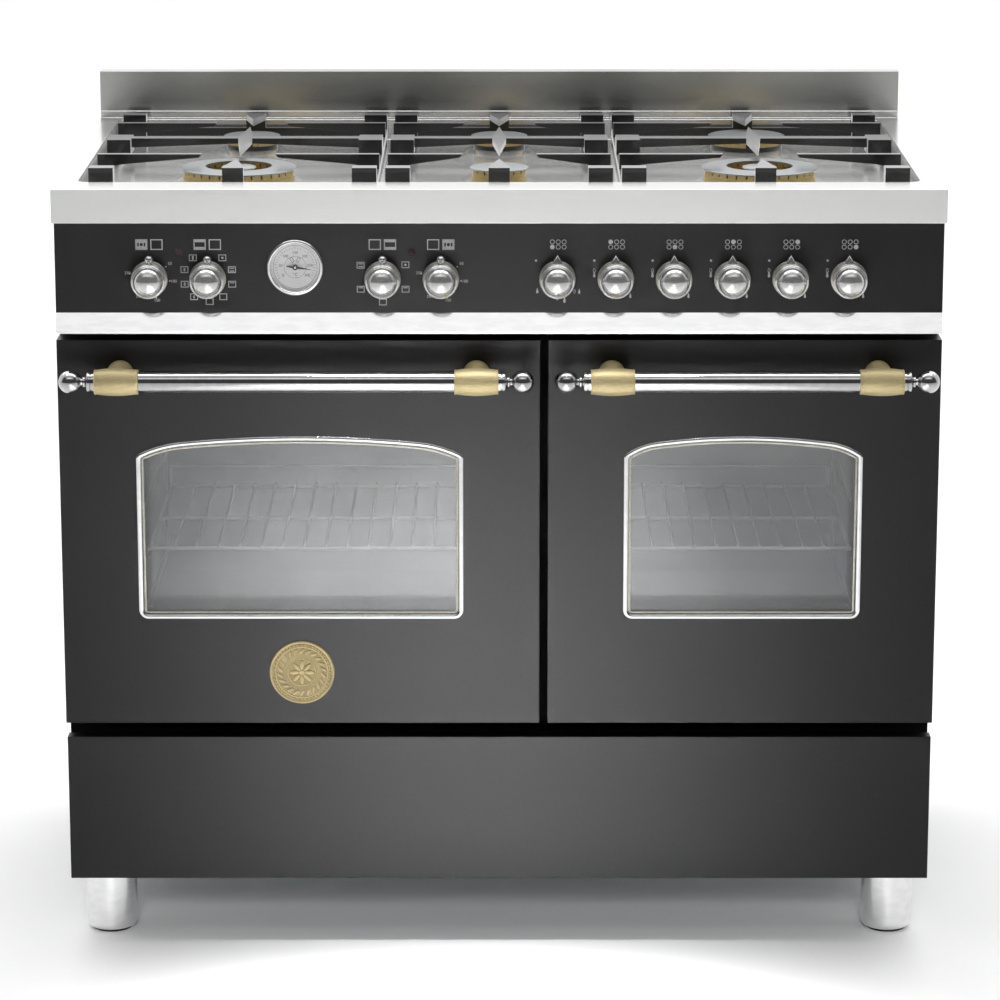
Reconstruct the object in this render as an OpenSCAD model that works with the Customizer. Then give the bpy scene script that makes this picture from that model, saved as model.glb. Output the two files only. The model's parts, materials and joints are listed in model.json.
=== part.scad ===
// Free-standing range cooker: six gas burners, two ovens side by side and a storage drawer.
// Lengths are in millimetres. The origin lies on the floor under the middle of the outer box,
// X runs to the right, Y to the back and Z up. Modules draw in a frame whose Y starts at the
// front edge of the worktop, and placed() moves them from there. Cutting shapes reach 1 mm past
// the faces that they cut.

/* [Overall] */
// Width of the worktop
width = 1000; // [960:10:1100]
// Depth of the worktop from its front edge to the back of the splashback
depth = 600; // [595:5:660]
// How far each side of the body is set in from the worktop's edge
side_set = 2.5; // [1:0.5:6]
// Thickness of the body sheets
sheet = 2; // [1.5:0.25:3]
// Running and assembly clearance between flat neighbours
fit = 0.2; // [0.1:0.05:0.3]

/* [Heights] */
// Height of the feet
foot_h = 79.5; // [70:0.5:120]
// Height of the drawer front
drawer_h = 171.2; // [160:0.1:200]
// Gap between the drawer front and the doors
low_gap = 16.5; // [15.5:0.5:22]
// Height of the oven doors
door_h = 448.3; // [440:0.1:480]
// Gap between the doors and the sloping strip
strip_gap = 8.8; // [6:0.2:12]
// Height of the sloping strip
strip_h = 22.2; // [18:0.2:28]
// Height of the control panel
panel_h = 101; // [96:1:120]
// Height of the worktop's front apron
apron_h = 38.5; // [36:0.5:50]
// Height of the splashback above the worktop
guard_h = 58; // [40:1:90]

/* [Worktop] */
// Width of the flat rim at the front
rim_front = 54; // [45:1:58]
// Width of the flat rim at each side
rim_side = 25; // [20:1:28]
// Width of the flat rim at the back
rim_back = 18; // [12:1:20]
// Depth of the recessed well
well_depth = 25; // [22:0.5:26]
// Height of the fold behind the worktop
lip_h = 8.5; // [6:0.5:12]
// Thickness of the splashback box
guard_t = 22; // [18:1:24]

/* [Burners] */
// Distance from the middle burners to the outer ones
burner_pitch = 303; // [295:1:310]
// Distance of the front burner row from the worktop's front edge
row_front = 206; // [200:1:215]
// Distance of the rear burner row from the worktop's front edge
row_rear = 463; // [455:1:468]
// Cap diameter of the two double-crown burners
cap_large = 135; // [125:1:140]
// Cap diameter of the rear right burner
cap_medium = 94; // [84:1:100]
// Cap diameter of the three small burners
cap_small = 69; // [62:1:76]
// Height of the pressed boss under each burner
boss_h = 4; // [3:0.5:5]
// Height of a burner's cup
base_h = 5; // [4:0.5:6]
// Height of a burner's slotted crown
crown_h = 8.5; // [7:0.5:9]
// Thickness of a burner cap
cap_t = 3; // [2.5:0.25:3.5]

/* [Pan supports] */
// Distance of the pan supports' top above the worktop
grate_rise = 9.5; // [8:0.5:14]
// Gap between neighbouring pan supports
grate_gap = 10; // [8:1:14]
// Gap between the outer pan supports and the well's wall
grate_side = 8; // [5:1:12]
// Front edge of the pan supports, from the worktop's front edge
grate_front = 96; // [92:1:100]
// Rear edge of the pan supports, from the worktop's front edge
grate_rear = 550; // [545:1:555]
// Width of the bars
bar_w = 9; // [7:0.5:12]
// Width of the corner blocks
block_w = 28; // [22:1:32]
// Distance from a burner's axis to the tips of the fingers beside it
finger_gap = 46; // [42:1:52]
// Height that a pan support is lifted clear
grate_lift = 60; // [40:5:80]

/* [Ovens] */
// Width of the left door
left_door_w = 543.6; // [530:0.1:556]
// Gap between the doors
door_gap = 9; // [6:0.5:14]
// Thickness of the doors
door_t = 40; // [38:0.5:44]
// Space for the seal between a door and the front frame
seal_space = 5.5; // [5:0.25:8]
// Inside width of the left oven
left_cav_w = 380; // [360:5:390]
// Inside width of the right oven
right_cav_w = 280; // [265:5:290]
// Inside height of the ovens
cav_h = 330; // [300:5:345]
// Inside depth of the ovens
cav_d = 430; // [420:5:440]
// Height of the ovens' floor above the doors' lower edge
cav_low = 58; // [56:1:66]
// Thickness of the insulation round the ovens
wool_t = 25; // [18:1:26]
// Height of the first rack guide above the ovens' floor
guide_first = 62; // [45:1:75]
// Distance between rack guides
guide_pitch = 62; // [55:1:70]
// Wire radius of the racks' frames and of the guides
wire_r = 2.5; // [2:0.25:3]
// Distance between the bars of a rack
rack_pitch = 24.9; // [18:0.1:32]
// Front edge of the racks behind the front frame
rack_set = 32; // [25:1:40]
// Depth of the racks
rack_d = 313; // [290:1:320]
// Height of the racks' rear stop
rack_stop = 25; // [15:1:35]

/* [Doors] */
// Sheet thickness of the doors' front trays
skin_t = 1.5; // [1.25:0.25:2]
// Thickness of a glass pane
glass_t = 4; // [3.5:0.5:5]
// Width of the left window
left_win_w = 370.6; // [340:0.1:390]
// Width of the right window
right_win_w = 270.7; // [250:0.1:285]
// Height of the windows at the middle
win_h = 214; // [200:1:230]
// Height of the windows' lower edge above the door's lower edge
win_low = 123.8; // [115:0.1:140]
// Rise of the arch over a window
win_rise = 22; // [16:1:30]
// Width of the bead round a window
bead_w = 4.2; // [3.5:0.1:4.6]
// Distance of the hinge pins behind the doors' front
hinge_in = 25; // [24:0.5:26]
// Height of the hinge pins above the doors' lower edge
hinge_up = 12; // [11:0.5:13]
// Radius of the hinge pins
pin_r = 3.5; // [3:0.25:4]
// Distance of the hinge arms from the sides of the doors
hinge_side = 60; // [45:1:70]

/* [Handles] */
// Diameter of the handle bars
bar_d = 22; // [18:0.5:24]
// Distance of the handle bars' axis in front of the doors
bar_out = 50; // [44:1:60]
// Height of the handle bars' axis above the doors' lower edge
bar_up = 410.4; // [390:0.1:420]
// Diameter of the balls at the ends of a handle
ball_d = 26; // [22:0.5:30]
// Distance from a door's side to the end of its handle
handle_set = 7; // [4:0.5:12]
// Distance from a door's side to the middle of a handle bracket
bracket_set = 71.5; // [68:0.5:85]
// Length of a bracket's barrel
barrel_l = 49; // [40:1:54]
// Largest diameter of a bracket's barrel
barrel_d = 31; // [29:0.5:34]
// Diameter of a bracket's post at the door
post_d = 30; // [27:0.5:32]

/* [Controls] */
// Distance between neighbouring knobs
knob_pitch = 65.2; // [60:0.2:67]
// Height of the knobs' axes above the control panel's lower edge
knob_up = 38.7; // [36:0.1:44]
// Diameter of a knob's flange
knob_d = 41; // [36:0.5:44]
// Length of a knob in front of the panel
knob_l = 38; // [32:1:42]
// Diameter of a knob's spindle
spindle_d = 8; // [7:0.5:9]
// Diameter of the thermometer
dial_d = 63.7; // [58:0.1:66]
// Height of the thermometer's centre above the control panel's lower edge
dial_up = 51.5; // [46:0.5:56]
// Diameter of the indicator lamps
lamp_d = 8.5; // [7:0.5:10]
// Height of the indicator lamps above the knobs' axes
lamp_up = 30; // [28:0.5:36]

/* [Drawer and feet] */
// Thickness of the drawer front
front_t = 18; // [15:0.5:20]
// Height of the drawer box
box_h = 86; // [70:1:95]
// Depth of the drawer box
box_d = 490; // [400:5:500]
// Travel of the drawer
drawer_travel = 330; // [250:10:335]
// Diameter of the feet
foot_d = 60; // [45:1:64]
// Distance of the feet's axes from the sides of the body
foot_side = 41.5; // [38:0.5:60]
// Distance of the front feet's axes from the worktop's front edge
foot_front = 62; // [60:1:110]
// Diameter of the medallion on the left door
medal_d = 74; // [60:1:80]

/* [Hidden] */
$fn = 48;

// Colours of the finishes
satin_black = "#2b2b2b";
steel = "#c9c9c6";
bright = "#e4e6e6";
brass = "#c8b87e";
iron = "#1e1e1e";
enamel = "#4a4d52";
galvanised = "#9aa0a3";
wool = "#d8d0b4";
rubber = "#26262a";
smoked = "#8a8f92";
lamp_red = "#7a1512";

// Heights of the fronts, from the floor up
z_drawer = foot_h;
z_drawer_top = z_drawer + drawer_h;
z_door = z_drawer_top + low_gap;
z_door_top = z_door + door_h;
z_strip = z_door_top + strip_gap;
z_panel = z_strip + strip_h;
z_apron = z_panel + panel_h;
z_top = z_apron + apron_h;
z_well = z_top - well_depth;
z_guard = z_top + guard_h;
z_grate = z_top + grate_rise;

// Planes from front to back
body_x = width/2 - side_set;
reach = bar_out + max(ball_d, barrel_d)/2;
front = (reach - depth)/2;
y_frame = door_t + seal_space;
y_frame_back = y_frame + sheet;
y_guard = depth - guard_t;
y_back = y_guard - 1 - sheet;
y_cav_back = y_frame_back + cav_d;

// Doors and ovens
left_x = -body_x;
right_x = left_x + left_door_w + door_gap;
right_door_w = body_x - right_x;
left_mid = left_x + left_door_w/2;
right_mid = right_x + right_door_w/2;
z_cav = z_door + cav_low;
DOORS = [[left_x, left_door_w, left_cav_w, left_win_w], [right_x, right_door_w, right_cav_w, right_win_w]];
MIDS = [left_mid, right_mid];
CAVS = [left_cav_w, right_cav_w];
z_pin = z_door + hinge_up;
arm_w = 6;
arm_r = 8;
arm_play = 0.6;
run = 0.05;
flange_w = 15;
corner_r = 12;
curved_gap = 0.1;
back_wall = 1.5;

// Burners as [x, y, cap diameter, double crown], in the order of their knobs
BURNERS = [[-burner_pitch, row_front, cap_large, true], [-burner_pitch, row_rear, cap_small, false],
    [0, row_front, cap_small, false], [0, row_rear, cap_small, false],
    [burner_pitch, row_rear, cap_medium, false], [burner_pitch, row_front, cap_large, true]];
z_boss = z_well + boss_h;
z_crown = z_boss + base_h;
z_cap = z_crown + crown_h;

// Knobs: the oven knobs stand in pairs left of the middle, the gas knobs in a row right of it
z_knob = z_panel + knob_up;
GAS_X = [for (i = [1:6]) i*knob_pitch];
OVEN_X = [-6*knob_pitch, -5*knob_pitch, -2*knob_pitch, -knob_pitch];
LAMP_X = [-5.5*knob_pitch, -1.5*knob_pitch];
dial_x = -3.5*knob_pitch;
z_dial = z_panel + dial_up;
y_panel = 1;
spindle_in = 30;

// Drawer
rail_in = 38;
box_x = body_x - rail_in;
z_box = z_drawer + 24;

// Distance from the axis to the middle of an arc that is tangent inside a wider arc
function tangent_up(r, dx) = sqrt(r*r - dx*dx);
// Points of an arc from angle a to angle b round a centre
function arc(c, r, a, b, n = 8) = [for (i = [0:n]) let (t = a + (b - a)*i/n) c + r*[cos(t), sin(t)]];
// Outline of a rectangle with round corners, from corner p to corner q
function rounded(p, q, r, n = 6) = concat(
    arc([q.x - r, q.y - r], r, 0, 90, n), arc([p.x + r, q.y - r], r, 90, 180, n),
    arc([p.x + r, p.y + r], r, 180, 270, n), arc([q.x - r, p.y + r], r, 270, 360, n));

// Outline of a window: straight sides, a three-centred arch and small corner radii.
// The window's lower edge is on the X axis, and inset moves the whole outline inwards.
function window(w, inset = 0) = let (
    x1 = 0.363*w, d1 = 0.3*win_rise,
    r1 = (x1*x1 + d1*d1)/(2*d1), a1 = asin(x1/r1),
    a2 = 2*atan2(win_rise - d1, w/2 - x1) - a1,
    r2 = (w/2 - x1)/(sin(a2) - sin(a1)),
    c1 = [0, win_h - r1], c2 = c1 + (r1 - r2)*[sin(a1), cos(a1)],
    rf = 6, rb = 11, cf = [w/2 - rf, c2.y + tangent_up(r2 - rf, w/2 - rf - c2.x)],
    af = atan2(cf.y - c2.y, cf.x - c2.x),
    right = concat(arc([w/2 - rb, rb], rb - inset, -90, 0, 6), arc(cf, rf - inset, 0, af, 4),
        arc(c2, r2 - inset, af, 90 - a1, 10), arc(c1, r1 - inset, 90 - a1, 90, 8)),
    n = len(right))
    concat(right, [for (i = [n - 2:-1:0]) [-right[i].x, right[i].y]]);

// Everything drawn inside moves from the worktop's front edge to the part's own origin
module placed() {
    translate([0, front, 0]) children();
}

// A box from one corner to the opposite one
module block(p, q) {
    translate(p) cube(q - p);
}

// A flat shape in X and Z, drawn out from y0 to y1
module plate(y0, y1) {
    translate([0, y1, 0]) rotate([90, 0, 0]) linear_extrude(y1 - y0) children();
}

// A flat shape in Y and Z, drawn out from x0 to x1
module profile(x0, x1) {
    translate([x0, 0, 0]) rotate([90, 0, 90]) linear_extrude(x1 - x0) children();
}

// Round bars along the three directions
module rod_x(x0, x1, y, z, r) {
    translate([x0, y, z]) rotate([0, 90, 0]) cylinder(r = r, h = x1 - x0);
}

module rod_y(y0, y1, x, z, r) {
    translate([x, y1, z]) rotate([90, 0, 0]) cylinder(r = r, h = y1 - y0);
}

module rod_z(z0, z1, x, y, r) {
    translate([x, y, z0]) cylinder(r = r, h = z1 - z0);
}

// Both sides of the body, the second one mirrored
module both_sides() {
    children();
    mirror([1, 0, 0]) children();
}

// Sheet sides with folded flanges at the front and the back
module side_panels() {
    fold = 15;
    color(satin_black) placed() both_sides() translate([0, 0, z_drawer])
        linear_extrude(z_apron - z_drawer) difference() {
            polygon([[body_x - fold, y_frame_back], [body_x, y_frame_back], [body_x, y_back],
                [body_x - fold, y_back]]);
            polygon([[body_x - fold - 1, y_frame_back + sheet], [body_x - sheet, y_frame_back + sheet],
                [body_x - sheet, y_back - sheet], [body_x - fold - 1, y_back - sheet]]);
        }
}

// Rear sheet with cooling slots, the gas pipe's hole and two holes for a stability bracket
pipe_x = -body_x + 32.5;
pipe_r = 8;
bracket_spacing = 700;
bracket_r = 3;
z_bracket = z_apron - 25;
box_side = 300;
z_box_mid = z_knob - 60;
cable_r = 12;
slot = [60, 5];
slot_pitch = 14;
slot_rows = 8;
slot_columns = [-200, 0, 200];
z_slots = z_cav + 60;

module back_panel() {
    color(galvanised) placed() difference() {
        block([-body_x + sheet, y_back, z_drawer], [body_x - sheet, y_back + sheet, z_apron]);
        for (x = slot_columns, i = [0:slot_rows - 1])
            block([x - slot.x/2, y_back - 1, z_slots + slot_pitch*i],
                [x + slot.x/2, y_back + sheet + 1, z_slots + slot_pitch*i + slot.y]);
        for (x = [-bracket_spacing/2, bracket_spacing/2])
            rod_y(y_back - 1, y_back + sheet + 1, x, z_bracket, bracket_r);
        rod_y(y_back - 1, y_back + sheet + 1, pipe_x, z_knob, pipe_r + fit);
        rod_y(y_back - 1, y_back + sheet + 1, box_side, z_box_mid, cable_r);
    }
}

// Ring of box section that carries the body, with a threaded plate over each foot
rail = 20;
stud_r = 5;
FEET = [for (x = [-body_x + foot_side, body_x - foot_side], y = [foot_front, y_back - foot_side]) [x, y]];

module base_frame() {
    plate_w = 76;
    lip = body_x - sheet - fit;
    y0 = y_frame_back + sheet + fit;
    y1 = y_back - sheet - fit;
    color(galvanised) placed() difference() {
        union() {
            difference() {
                block([-lip, y0, z_drawer], [lip, y1, z_drawer + rail]);
                block([-lip + rail, y0 + rail, z_drawer - 1], [lip - rail, y1 - rail, z_drawer + rail + 1]);
            }
            for (f = FEET)
                block([max(-lip, f.x - plate_w/2), max(y0, f.y - plate_w/2), z_drawer],
                    [min(lip, f.x + plate_w/2), min(y1, f.y + plate_w/2), z_drawer + rail]);
        }
        for (f = FEET)
            rod_z(z_drawer - 1, z_drawer + rail + 1, f.x, f.y, stud_r + run);
    }
}

// Sheet behind the doors with the mouths of both ovens, the drawer and the hinge arms' slots
module front_frame() {
    edge = 23;
    sill = 22;
    head = 8;
    mouth_r = 4;
    slot_w = arm_w + 2*arm_play;
    slot_h = arm_r + arm_play;
    color(satin_black) placed() difference() {
        block([-body_x, y_frame, z_drawer], [body_x, y_frame_back, z_panel]);
        plate(y_frame - 1, y_frame_back + 1) {
            for (i = [0, 1])
                polygon(rounded([MIDS[i] - CAVS[i]/2, z_cav], [MIDS[i] + CAVS[i]/2, z_cav + cav_h],
                    corner_r));
            polygon(rounded([-body_x + edge, z_drawer + sill], [body_x - edge, z_drawer_top - head],
                mouth_r));
            for (x = ARMS)
                translate([x - slot_w/2, z_pin - slot_h]) square([slot_w, 2*slot_h]);
        }
    }
}

ARMS = [left_x + hinge_side, left_x + left_door_w - hinge_side, right_x + hinge_side,
    body_x - hinge_side];

// Outline of the well, inset by a wall where needed
well_r = 14;

module well(inset = 0) {
    polygon(rounded([-width/2 + rim_side + inset, rim_front + inset],
        [width/2 - rim_side - inset, y_guard - rim_back - inset], well_r - inset));
}

// Pressed steel worktop: rim, apron, recessed well with a boss under each burner
module hob_top() {
    boss_foot = 12;
    boss_edge = 3;
    color(steel) placed() difference() {
        union() {
            block([-width/2, 0, z_apron], [width/2, y_guard, z_top]);
            block([-width/2, y_guard - sheet, z_top], [width/2, y_guard, z_top + lip_h]);
        }
        difference() {
            block([-width/2 + sheet, sheet, z_apron - 1],
                [width/2 - sheet, y_guard - sheet, z_top - sheet]);
            translate([0, 0, z_well - sheet]) linear_extrude(z_top - z_well) well(-sheet);
        }
        difference() {
            translate([0, 0, z_well]) linear_extrude(well_depth + 1) well();
            for (b = BURNERS)
                translate([b.x, b.y, z_well - 1])
                    cylinder(r1 = b[2]/2 + boss_foot, r2 = b[2]/2 + boss_edge, h = boss_h + 1);
        }
        for (b = BURNERS)
            rod_z(z_well - sheet - 2, z_boss + 1, b.x, b.y, cup_r(b) + fit);
    }
}

// Radius of the neck of a burner's cup, which passes through the worktop
neck_large = 26;
neck_small = 17;
function cup_r(b) = b[3] ? neck_large : neck_small;
// Radius of a burner's crown, which its cap overhangs
cap_over = 4;
function crown_r(b) = b[2]/2 - cap_over;

// Folded steel splashback
module backguard() {
    wall = back_wall;
    color(steel) placed() difference() {
        block([-width/2, y_guard, z_apron], [width/2, depth, z_guard]);
        block([-width/2 + wall, y_guard + wall, z_apron - 1],
            [width/2 - wall, depth - wall, z_guard - wall]);
        block([-width/2 + wall, depth - wall - 1, z_apron - 1],
            [width/2 - wall, depth + 1, z_top]);
    }
}

// Folded panel with holes for the knobs' spindles, the thermometer and the lamps
panel_play = 0.5;
lamp_lip = 1;

module control_panel() {
    hole = spindle_d/2 + 1.5;
    end = body_x - panel_play;
    y1 = y_frame_back - fit;
    color(satin_black) placed() difference() {
        block([-end, y_panel, z_panel], [end, y1, z_apron]);
        block([-end + sheet, y_panel + sheet, z_panel + sheet],
            [end - sheet, y1 + 1, z_apron - sheet]);
        for (x = concat(GAS_X, OVEN_X))
            rod_y(y_panel - 1, y_panel + sheet + 1, x, z_knob, hole);
        for (x = LAMP_X)
            rod_y(y_panel - 1, y_panel + sheet + 1, x, z_knob + lamp_up, lamp_d/2 - lamp_lip);
        rod_y(y_panel - 1, y_panel + sheet + 1, dial_x, z_dial, dial_d/2 - dial_rim + fit);
    }
}

// Sloping steel strip under the control panel, a folded ledge that leans forwards
module fascia_trim() {
    lean = 10;
    lip = 3;
    color(bright) placed() profile(-body_x + panel_play, body_x - panel_play) polygon([
        [y_frame - fit, z_panel], [y_panel, z_panel], [y_panel - lean, z_strip + lip],
        [y_panel - lean, z_strip], [y_panel - lean + sheet, z_strip],
        [y_panel - lean + sheet, z_strip + lip], [y_panel + sheet, z_panel - sheet],
        [y_frame - fit, z_panel - sheet]]);
}

// Open-fronted oven liner with a flange against the front frame
module cavity(i) {
    w = CAVS[i]/2;
    m = MIDS[i];
    color(enamel) placed() difference() {
        union() {
            plate(y_frame_back, y_cav_back + sheet) polygon(rounded([m - w - sheet, z_cav - sheet],
                [m + w + sheet, z_cav + cav_h + sheet], corner_r + sheet));
            plate(y_frame_back, y_frame_back + sheet) polygon(rounded(
                [m - w - flange_w, z_cav - flange_w], [m + w + flange_w, z_cav + cav_h + flange_w],
                corner_r));
        }
        plate(y_frame_back - 1, y_cav_back) polygon(rounded([m - w, z_cav], [m + w, z_cav + cav_h],
            corner_r));
        for (s = [-1, 1])
            rod_y(y_cav_back - 1, y_cav_back + sheet + 1, m + s*element_x, z_element, element_r + fit);
        if (i == 0)
            rod_y(y_cav_back - 1, y_cav_back + sheet + 1, m, z_fan, neck_r + fit);
    }
}

module left_oven_cavity() {
    cavity(0);
}

module right_oven_cavity() {
    cavity(1);
}

// Mineral wool round both ovens, open at the front
module oven_insulation() {
    color(wool) placed() for (i = [0, 1]) {
        w = CAVS[i]/2 + sheet + fit;
        m = MIDS[i];
        y0 = y_frame_back + sheet + fit;
        y1 = y_cav_back + sheet + fit;
        difference() {
            block([m - w - wool_t, y0, z_cav - sheet - fit - wool_t],
                [m + w + wool_t, y1 + wool_t, z_cav + cav_h + sheet + fit + wool_t]);
            block([m - w, y0 - 1, z_cav - sheet - fit], [m + w, y1, z_cav + cav_h + sheet + fit]);
            for (s = [-1, 1])
                rod_y(y1 - 1, y1 + wool_t + 1, m + s*element_x, z_element, element_r + 1);
            if (i == 0)
                rod_y(y1 - 1, y1 + wool_t + 1, m, z_fan, neck_r + 1);
        }
    }
}

// Wire ladders on the ovens' side walls, each with stand-offs that touch the wall
guide_in = 9.5;
guide_set = 18;
guide_back = 72;
GUIDES = [for (i = [0:3]) z_cav + guide_first + i*guide_pitch];

module rack_guides() {
    ya = y_frame_back + guide_set;
    yb = y_cav_back - guide_back;
    off = guide_in - 2*wire_r + 0.5;
    post_in = 20;
    post_end = 12;
    foot_in = 4;
    z0 = GUIDES[0] - post_end;
    z1 = GUIDES[3] + post_end;
    color(bright) placed() for (i = [0, 1], s = [-1, 1]) translate([MIDS[i], 0, 0])
        mirror([s < 0 ? 1 : 0, 0, 0]) {
            x = CAVS[i]/2 - guide_in;
            union() {
                for (z = GUIDES)
                    rod_y(ya, yb, x, z, wire_r);
                for (y = [ya + post_in, yb - post_in]) {
                    rod_z(z0, z1, x + guide_in - off, y, wire_r);
                    for (z = [z0 + foot_in, z1 - foot_in])
                        rod_x(x + guide_in - off, x + guide_in, y, z, wire_r);
                }
            }
        }
}

// One wire rack in each oven, resting on the second guide, with a raised stop at the back
rack_r = 1.5;
rack_play = 1.5;
cross_r = wire_r - 0.4;

module oven_racks() {
    end_room = 6;
    mid_shift = 10;
    weld = 0.7;
    z = GUIDES[1] + 2*wire_r;
    ya = y_frame_back + rack_set;
    yb = ya + rack_d;
    color(bright) placed() for (i = [0, 1]) translate([MIDS[i], 0, 0]) {
        w = CAVS[i]/2 - guide_in - rack_play;
        n = floor((w - end_room)/rack_pitch);
        union() {
            for (s = [-1, 1]) {
                rod_y(ya - wire_r, yb + wire_r, s*w, z, wire_r);
                rod_z(z, z + rack_stop + rack_r, s*w, yb, cross_r);
            }
            for (y = [ya, (ya + yb)/2 - mid_shift, yb])
                rod_x(-w, w, y, z, cross_r);
            rod_x(-w, w, yb, z + rack_stop, rack_r);
            for (k = [-n:n])
                rod_y(ya - wire_r, yb + wire_r, k*rack_pitch, z + cross_r + rack_r - weld, rack_r);
        }
    }
}

// Rubber seal round each oven's mouth, on the front frame
module door_seals() {
    a = 6;
    b = 15;
    play = 0.3;
    color(rubber) placed() for (i = [0, 1]) {
        w = CAVS[i]/2;
        m = MIDS[i];
        plate(door_t + play, y_frame) difference() {
            polygon(rounded([m - w - b, z_cav - b], [m + w + b, z_cav + cav_h + b], corner_r + b));
            polygon(rounded([m - w - a, z_cav - a], [m + w + a, z_cav + cav_h + a], corner_r + a));
        }
    }
}

// Cast cups that carry the crowns, with their necks below the worktop and an ignition rod each
neck = 12;

module burner_bases() {
    floor_t = 3;
    wall = 5;
    rod_r = 2;
    tip_r = 0.8;
    rod_in = 4;
    color(iron) placed() for (b = BURNERS) translate([b.x, b.y, 0]) {
        difference() {
            union() {
                translate([0, 0, z_boss]) cylinder(r = crown_r(b) + 1, h = base_h);
                translate([0, 0, z_boss - neck]) cylinder(r = cup_r(b), h = neck + 1);
            }
            translate([0, 0, z_boss - neck + floor_t]) cylinder(r = cup_r(b) - wall, h = neck + base_h);
            translate([0, -crown_r(b) + rod_in, z_boss - 1]) cylinder(r = rod_r + fit, h = base_h + 2);
        }
        translate([0, -crown_r(b) + rod_in, z_boss]) union() {
            cylinder(r = rod_r, h = base_h + 5);
            cylinder(r = tip_r, h = base_h + 6.5);
        }
    }
}

// Slotted ring that the flames leave through
flame_slot = 1.8;
slot_deep = 4.5;

module flame_slots(r0, r1, slots, turn) {
    for (i = [0:slots - 1])
        rotate([0, 0, turn + i*360/slots]) translate([r0 - 1, -flame_slot/2, crown_h - slot_deep])
            cube([r1 - r0 + 2, flame_slot, slot_deep + 0.5]);
}

module crown(r0, r1, slots) {
    rod_space = 4;
    difference() {
        cylinder(r = r1, h = crown_h);
        translate([0, 0, -1]) cylinder(r = r0, h = crown_h + 2);
        flame_slots(r0, r1, slots, 180/slots);
        translate([0, -r1 + 3, -1]) cylinder(r = rod_space, h = crown_h + 2);
    }
}

// Radius of the inner crown of a double-crown burner
inner_r = 18.5;

module burner_crowns() {
    ring_large = 16;
    ring_small = 12;
    ring_inner = 8;
    spoke = [6, 3];
    color(brass) placed() for (b = BURNERS) translate([b.x, b.y, z_crown]) {
        r = crown_r(b);
        if (b[3]) {
            union() {
                crown(r - ring_large, r, 32);
                difference() {
                    cylinder(r = inner_r, h = crown_h);
                    translate([0, 0, -1]) cylinder(r = inner_r - ring_inner, h = crown_h + 2);
                    flame_slots(inner_r - ring_inner, inner_r, 12, 0);
                }
                for (i = [0:3])
                    rotate([0, 0, 45 + i*90]) translate([inner_r - 1, -spoke.x/2, 0])
                        cube([r - ring_large + 2 - inner_r, spoke.x, spoke.y]);
            }
        } else {
            crown(r - ring_small, r, r > 40 ? 22 : 16);
        }
    }
}

// Flat caps on the crowns: a disc on a single crown, a ring and a small disc on a double one
module burner_caps() {
    color(smoked) placed() for (b = BURNERS) translate([b.x, b.y, z_cap]) {
        r = b[2]/2;
        if (b[3]) {
            cap(r - cap_ring, r);
            rotate_extrude() polygon([[0, 0], [inner_r + 1, 0], [inner_r + 2, 1],
                [inner_r + 1, cap_t - 0.8], [inner_r - 4, cap_t], [0, cap_t]]);
        } else {
            cap(0, r);
        }
    }
}
cap_ring = 29;

// A cap with a rounded edge and a slightly domed top, from one radius to another
module cap(r0, r1) {
    rotate_extrude() polygon([[r0, 0], [r1 - 1, 0], [r1, 1], [r1, cap_t - 1.5],
        [r1 - 2, cap_t - 0.8], [r0, cap_t]]);
}

// Gas rail behind the panel, with its pipe through the back to a lock nut and the threaded inlet,
// and a thin pipe to each burner. Each thin pipe has its own level, so that none meets another.
y_rail = 76;
tube_r = 3;
tube_first = 17;
tube_pitch = 2.2*tube_r;
bulge = 0.3;
inlet_r = 10.5;
inlet_l = 18;
nut_d = 32;
nut_t = 4;

module gas_manifold() {
    rail_end = 25;
    y_nut = y_back + sheet;
    y_inlet = y_nut + nut_t;
    color(steel) placed() {
        union() {
            rod_x(pipe_x, GAS_X[5] + rail_end, y_rail, z_knob, pipe_r);
            translate([pipe_x, y_rail, z_knob]) sphere(r = pipe_r + bulge);
            rod_y(y_rail, y_inlet, pipe_x, z_knob, pipe_r);
            translate([pipe_x, y_inlet, z_knob]) rotate([90, 0, 0]) cylinder(d = nut_d, h = nut_t, $fn = 6);
            rod_y(y_inlet - 1, y_inlet + inlet_l, pipe_x, z_knob, inlet_r);
        }
        for (i = [0:5]) {
            b = BURNERS[i];
            z = z_knob + tube_first + tube_pitch*i;
            from = [GAS_X[i], y_valve + valve_w/2];
            span = norm([b.x, b.y] - from);
            turn = atan2(b.y - from.y, b.x - from.x);
            union() {
                rod_z(z_knob + valve_w/2, z, from.x, from.y, tube_r);
                translate([from.x, from.y, z]) {
                    sphere(r = tube_r + bulge);
                    rotate([0, 90, turn]) cylinder(r = tube_r, h = span);
                }
                translate([b.x, b.y, z]) sphere(r = tube_r + bulge);
                rod_z(z, z_boss - neck, b.x, b.y, tube_r);
            }
        }
    }
}

// Valve bodies that clasp the gas rail, with a bore for the knob's spindle
y_valve = 24;
valve_w = 24;
bore_end = 3;

module gas_valves() {
    color(brass) placed() for (x = GAS_X) difference() {
        block([x - valve_w/2, y_valve, z_knob - valve_w/2], [x + valve_w/2, y_rail, z_knob + valve_w/2]);
        rod_x(x - valve_w, x + valve_w, y_rail, z_knob, pipe_r + fit);
        rod_y(y_valve - 1, y_panel + spindle_in + bore_end, x, z_knob, spindle_d/2 + run);
    }
}

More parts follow.
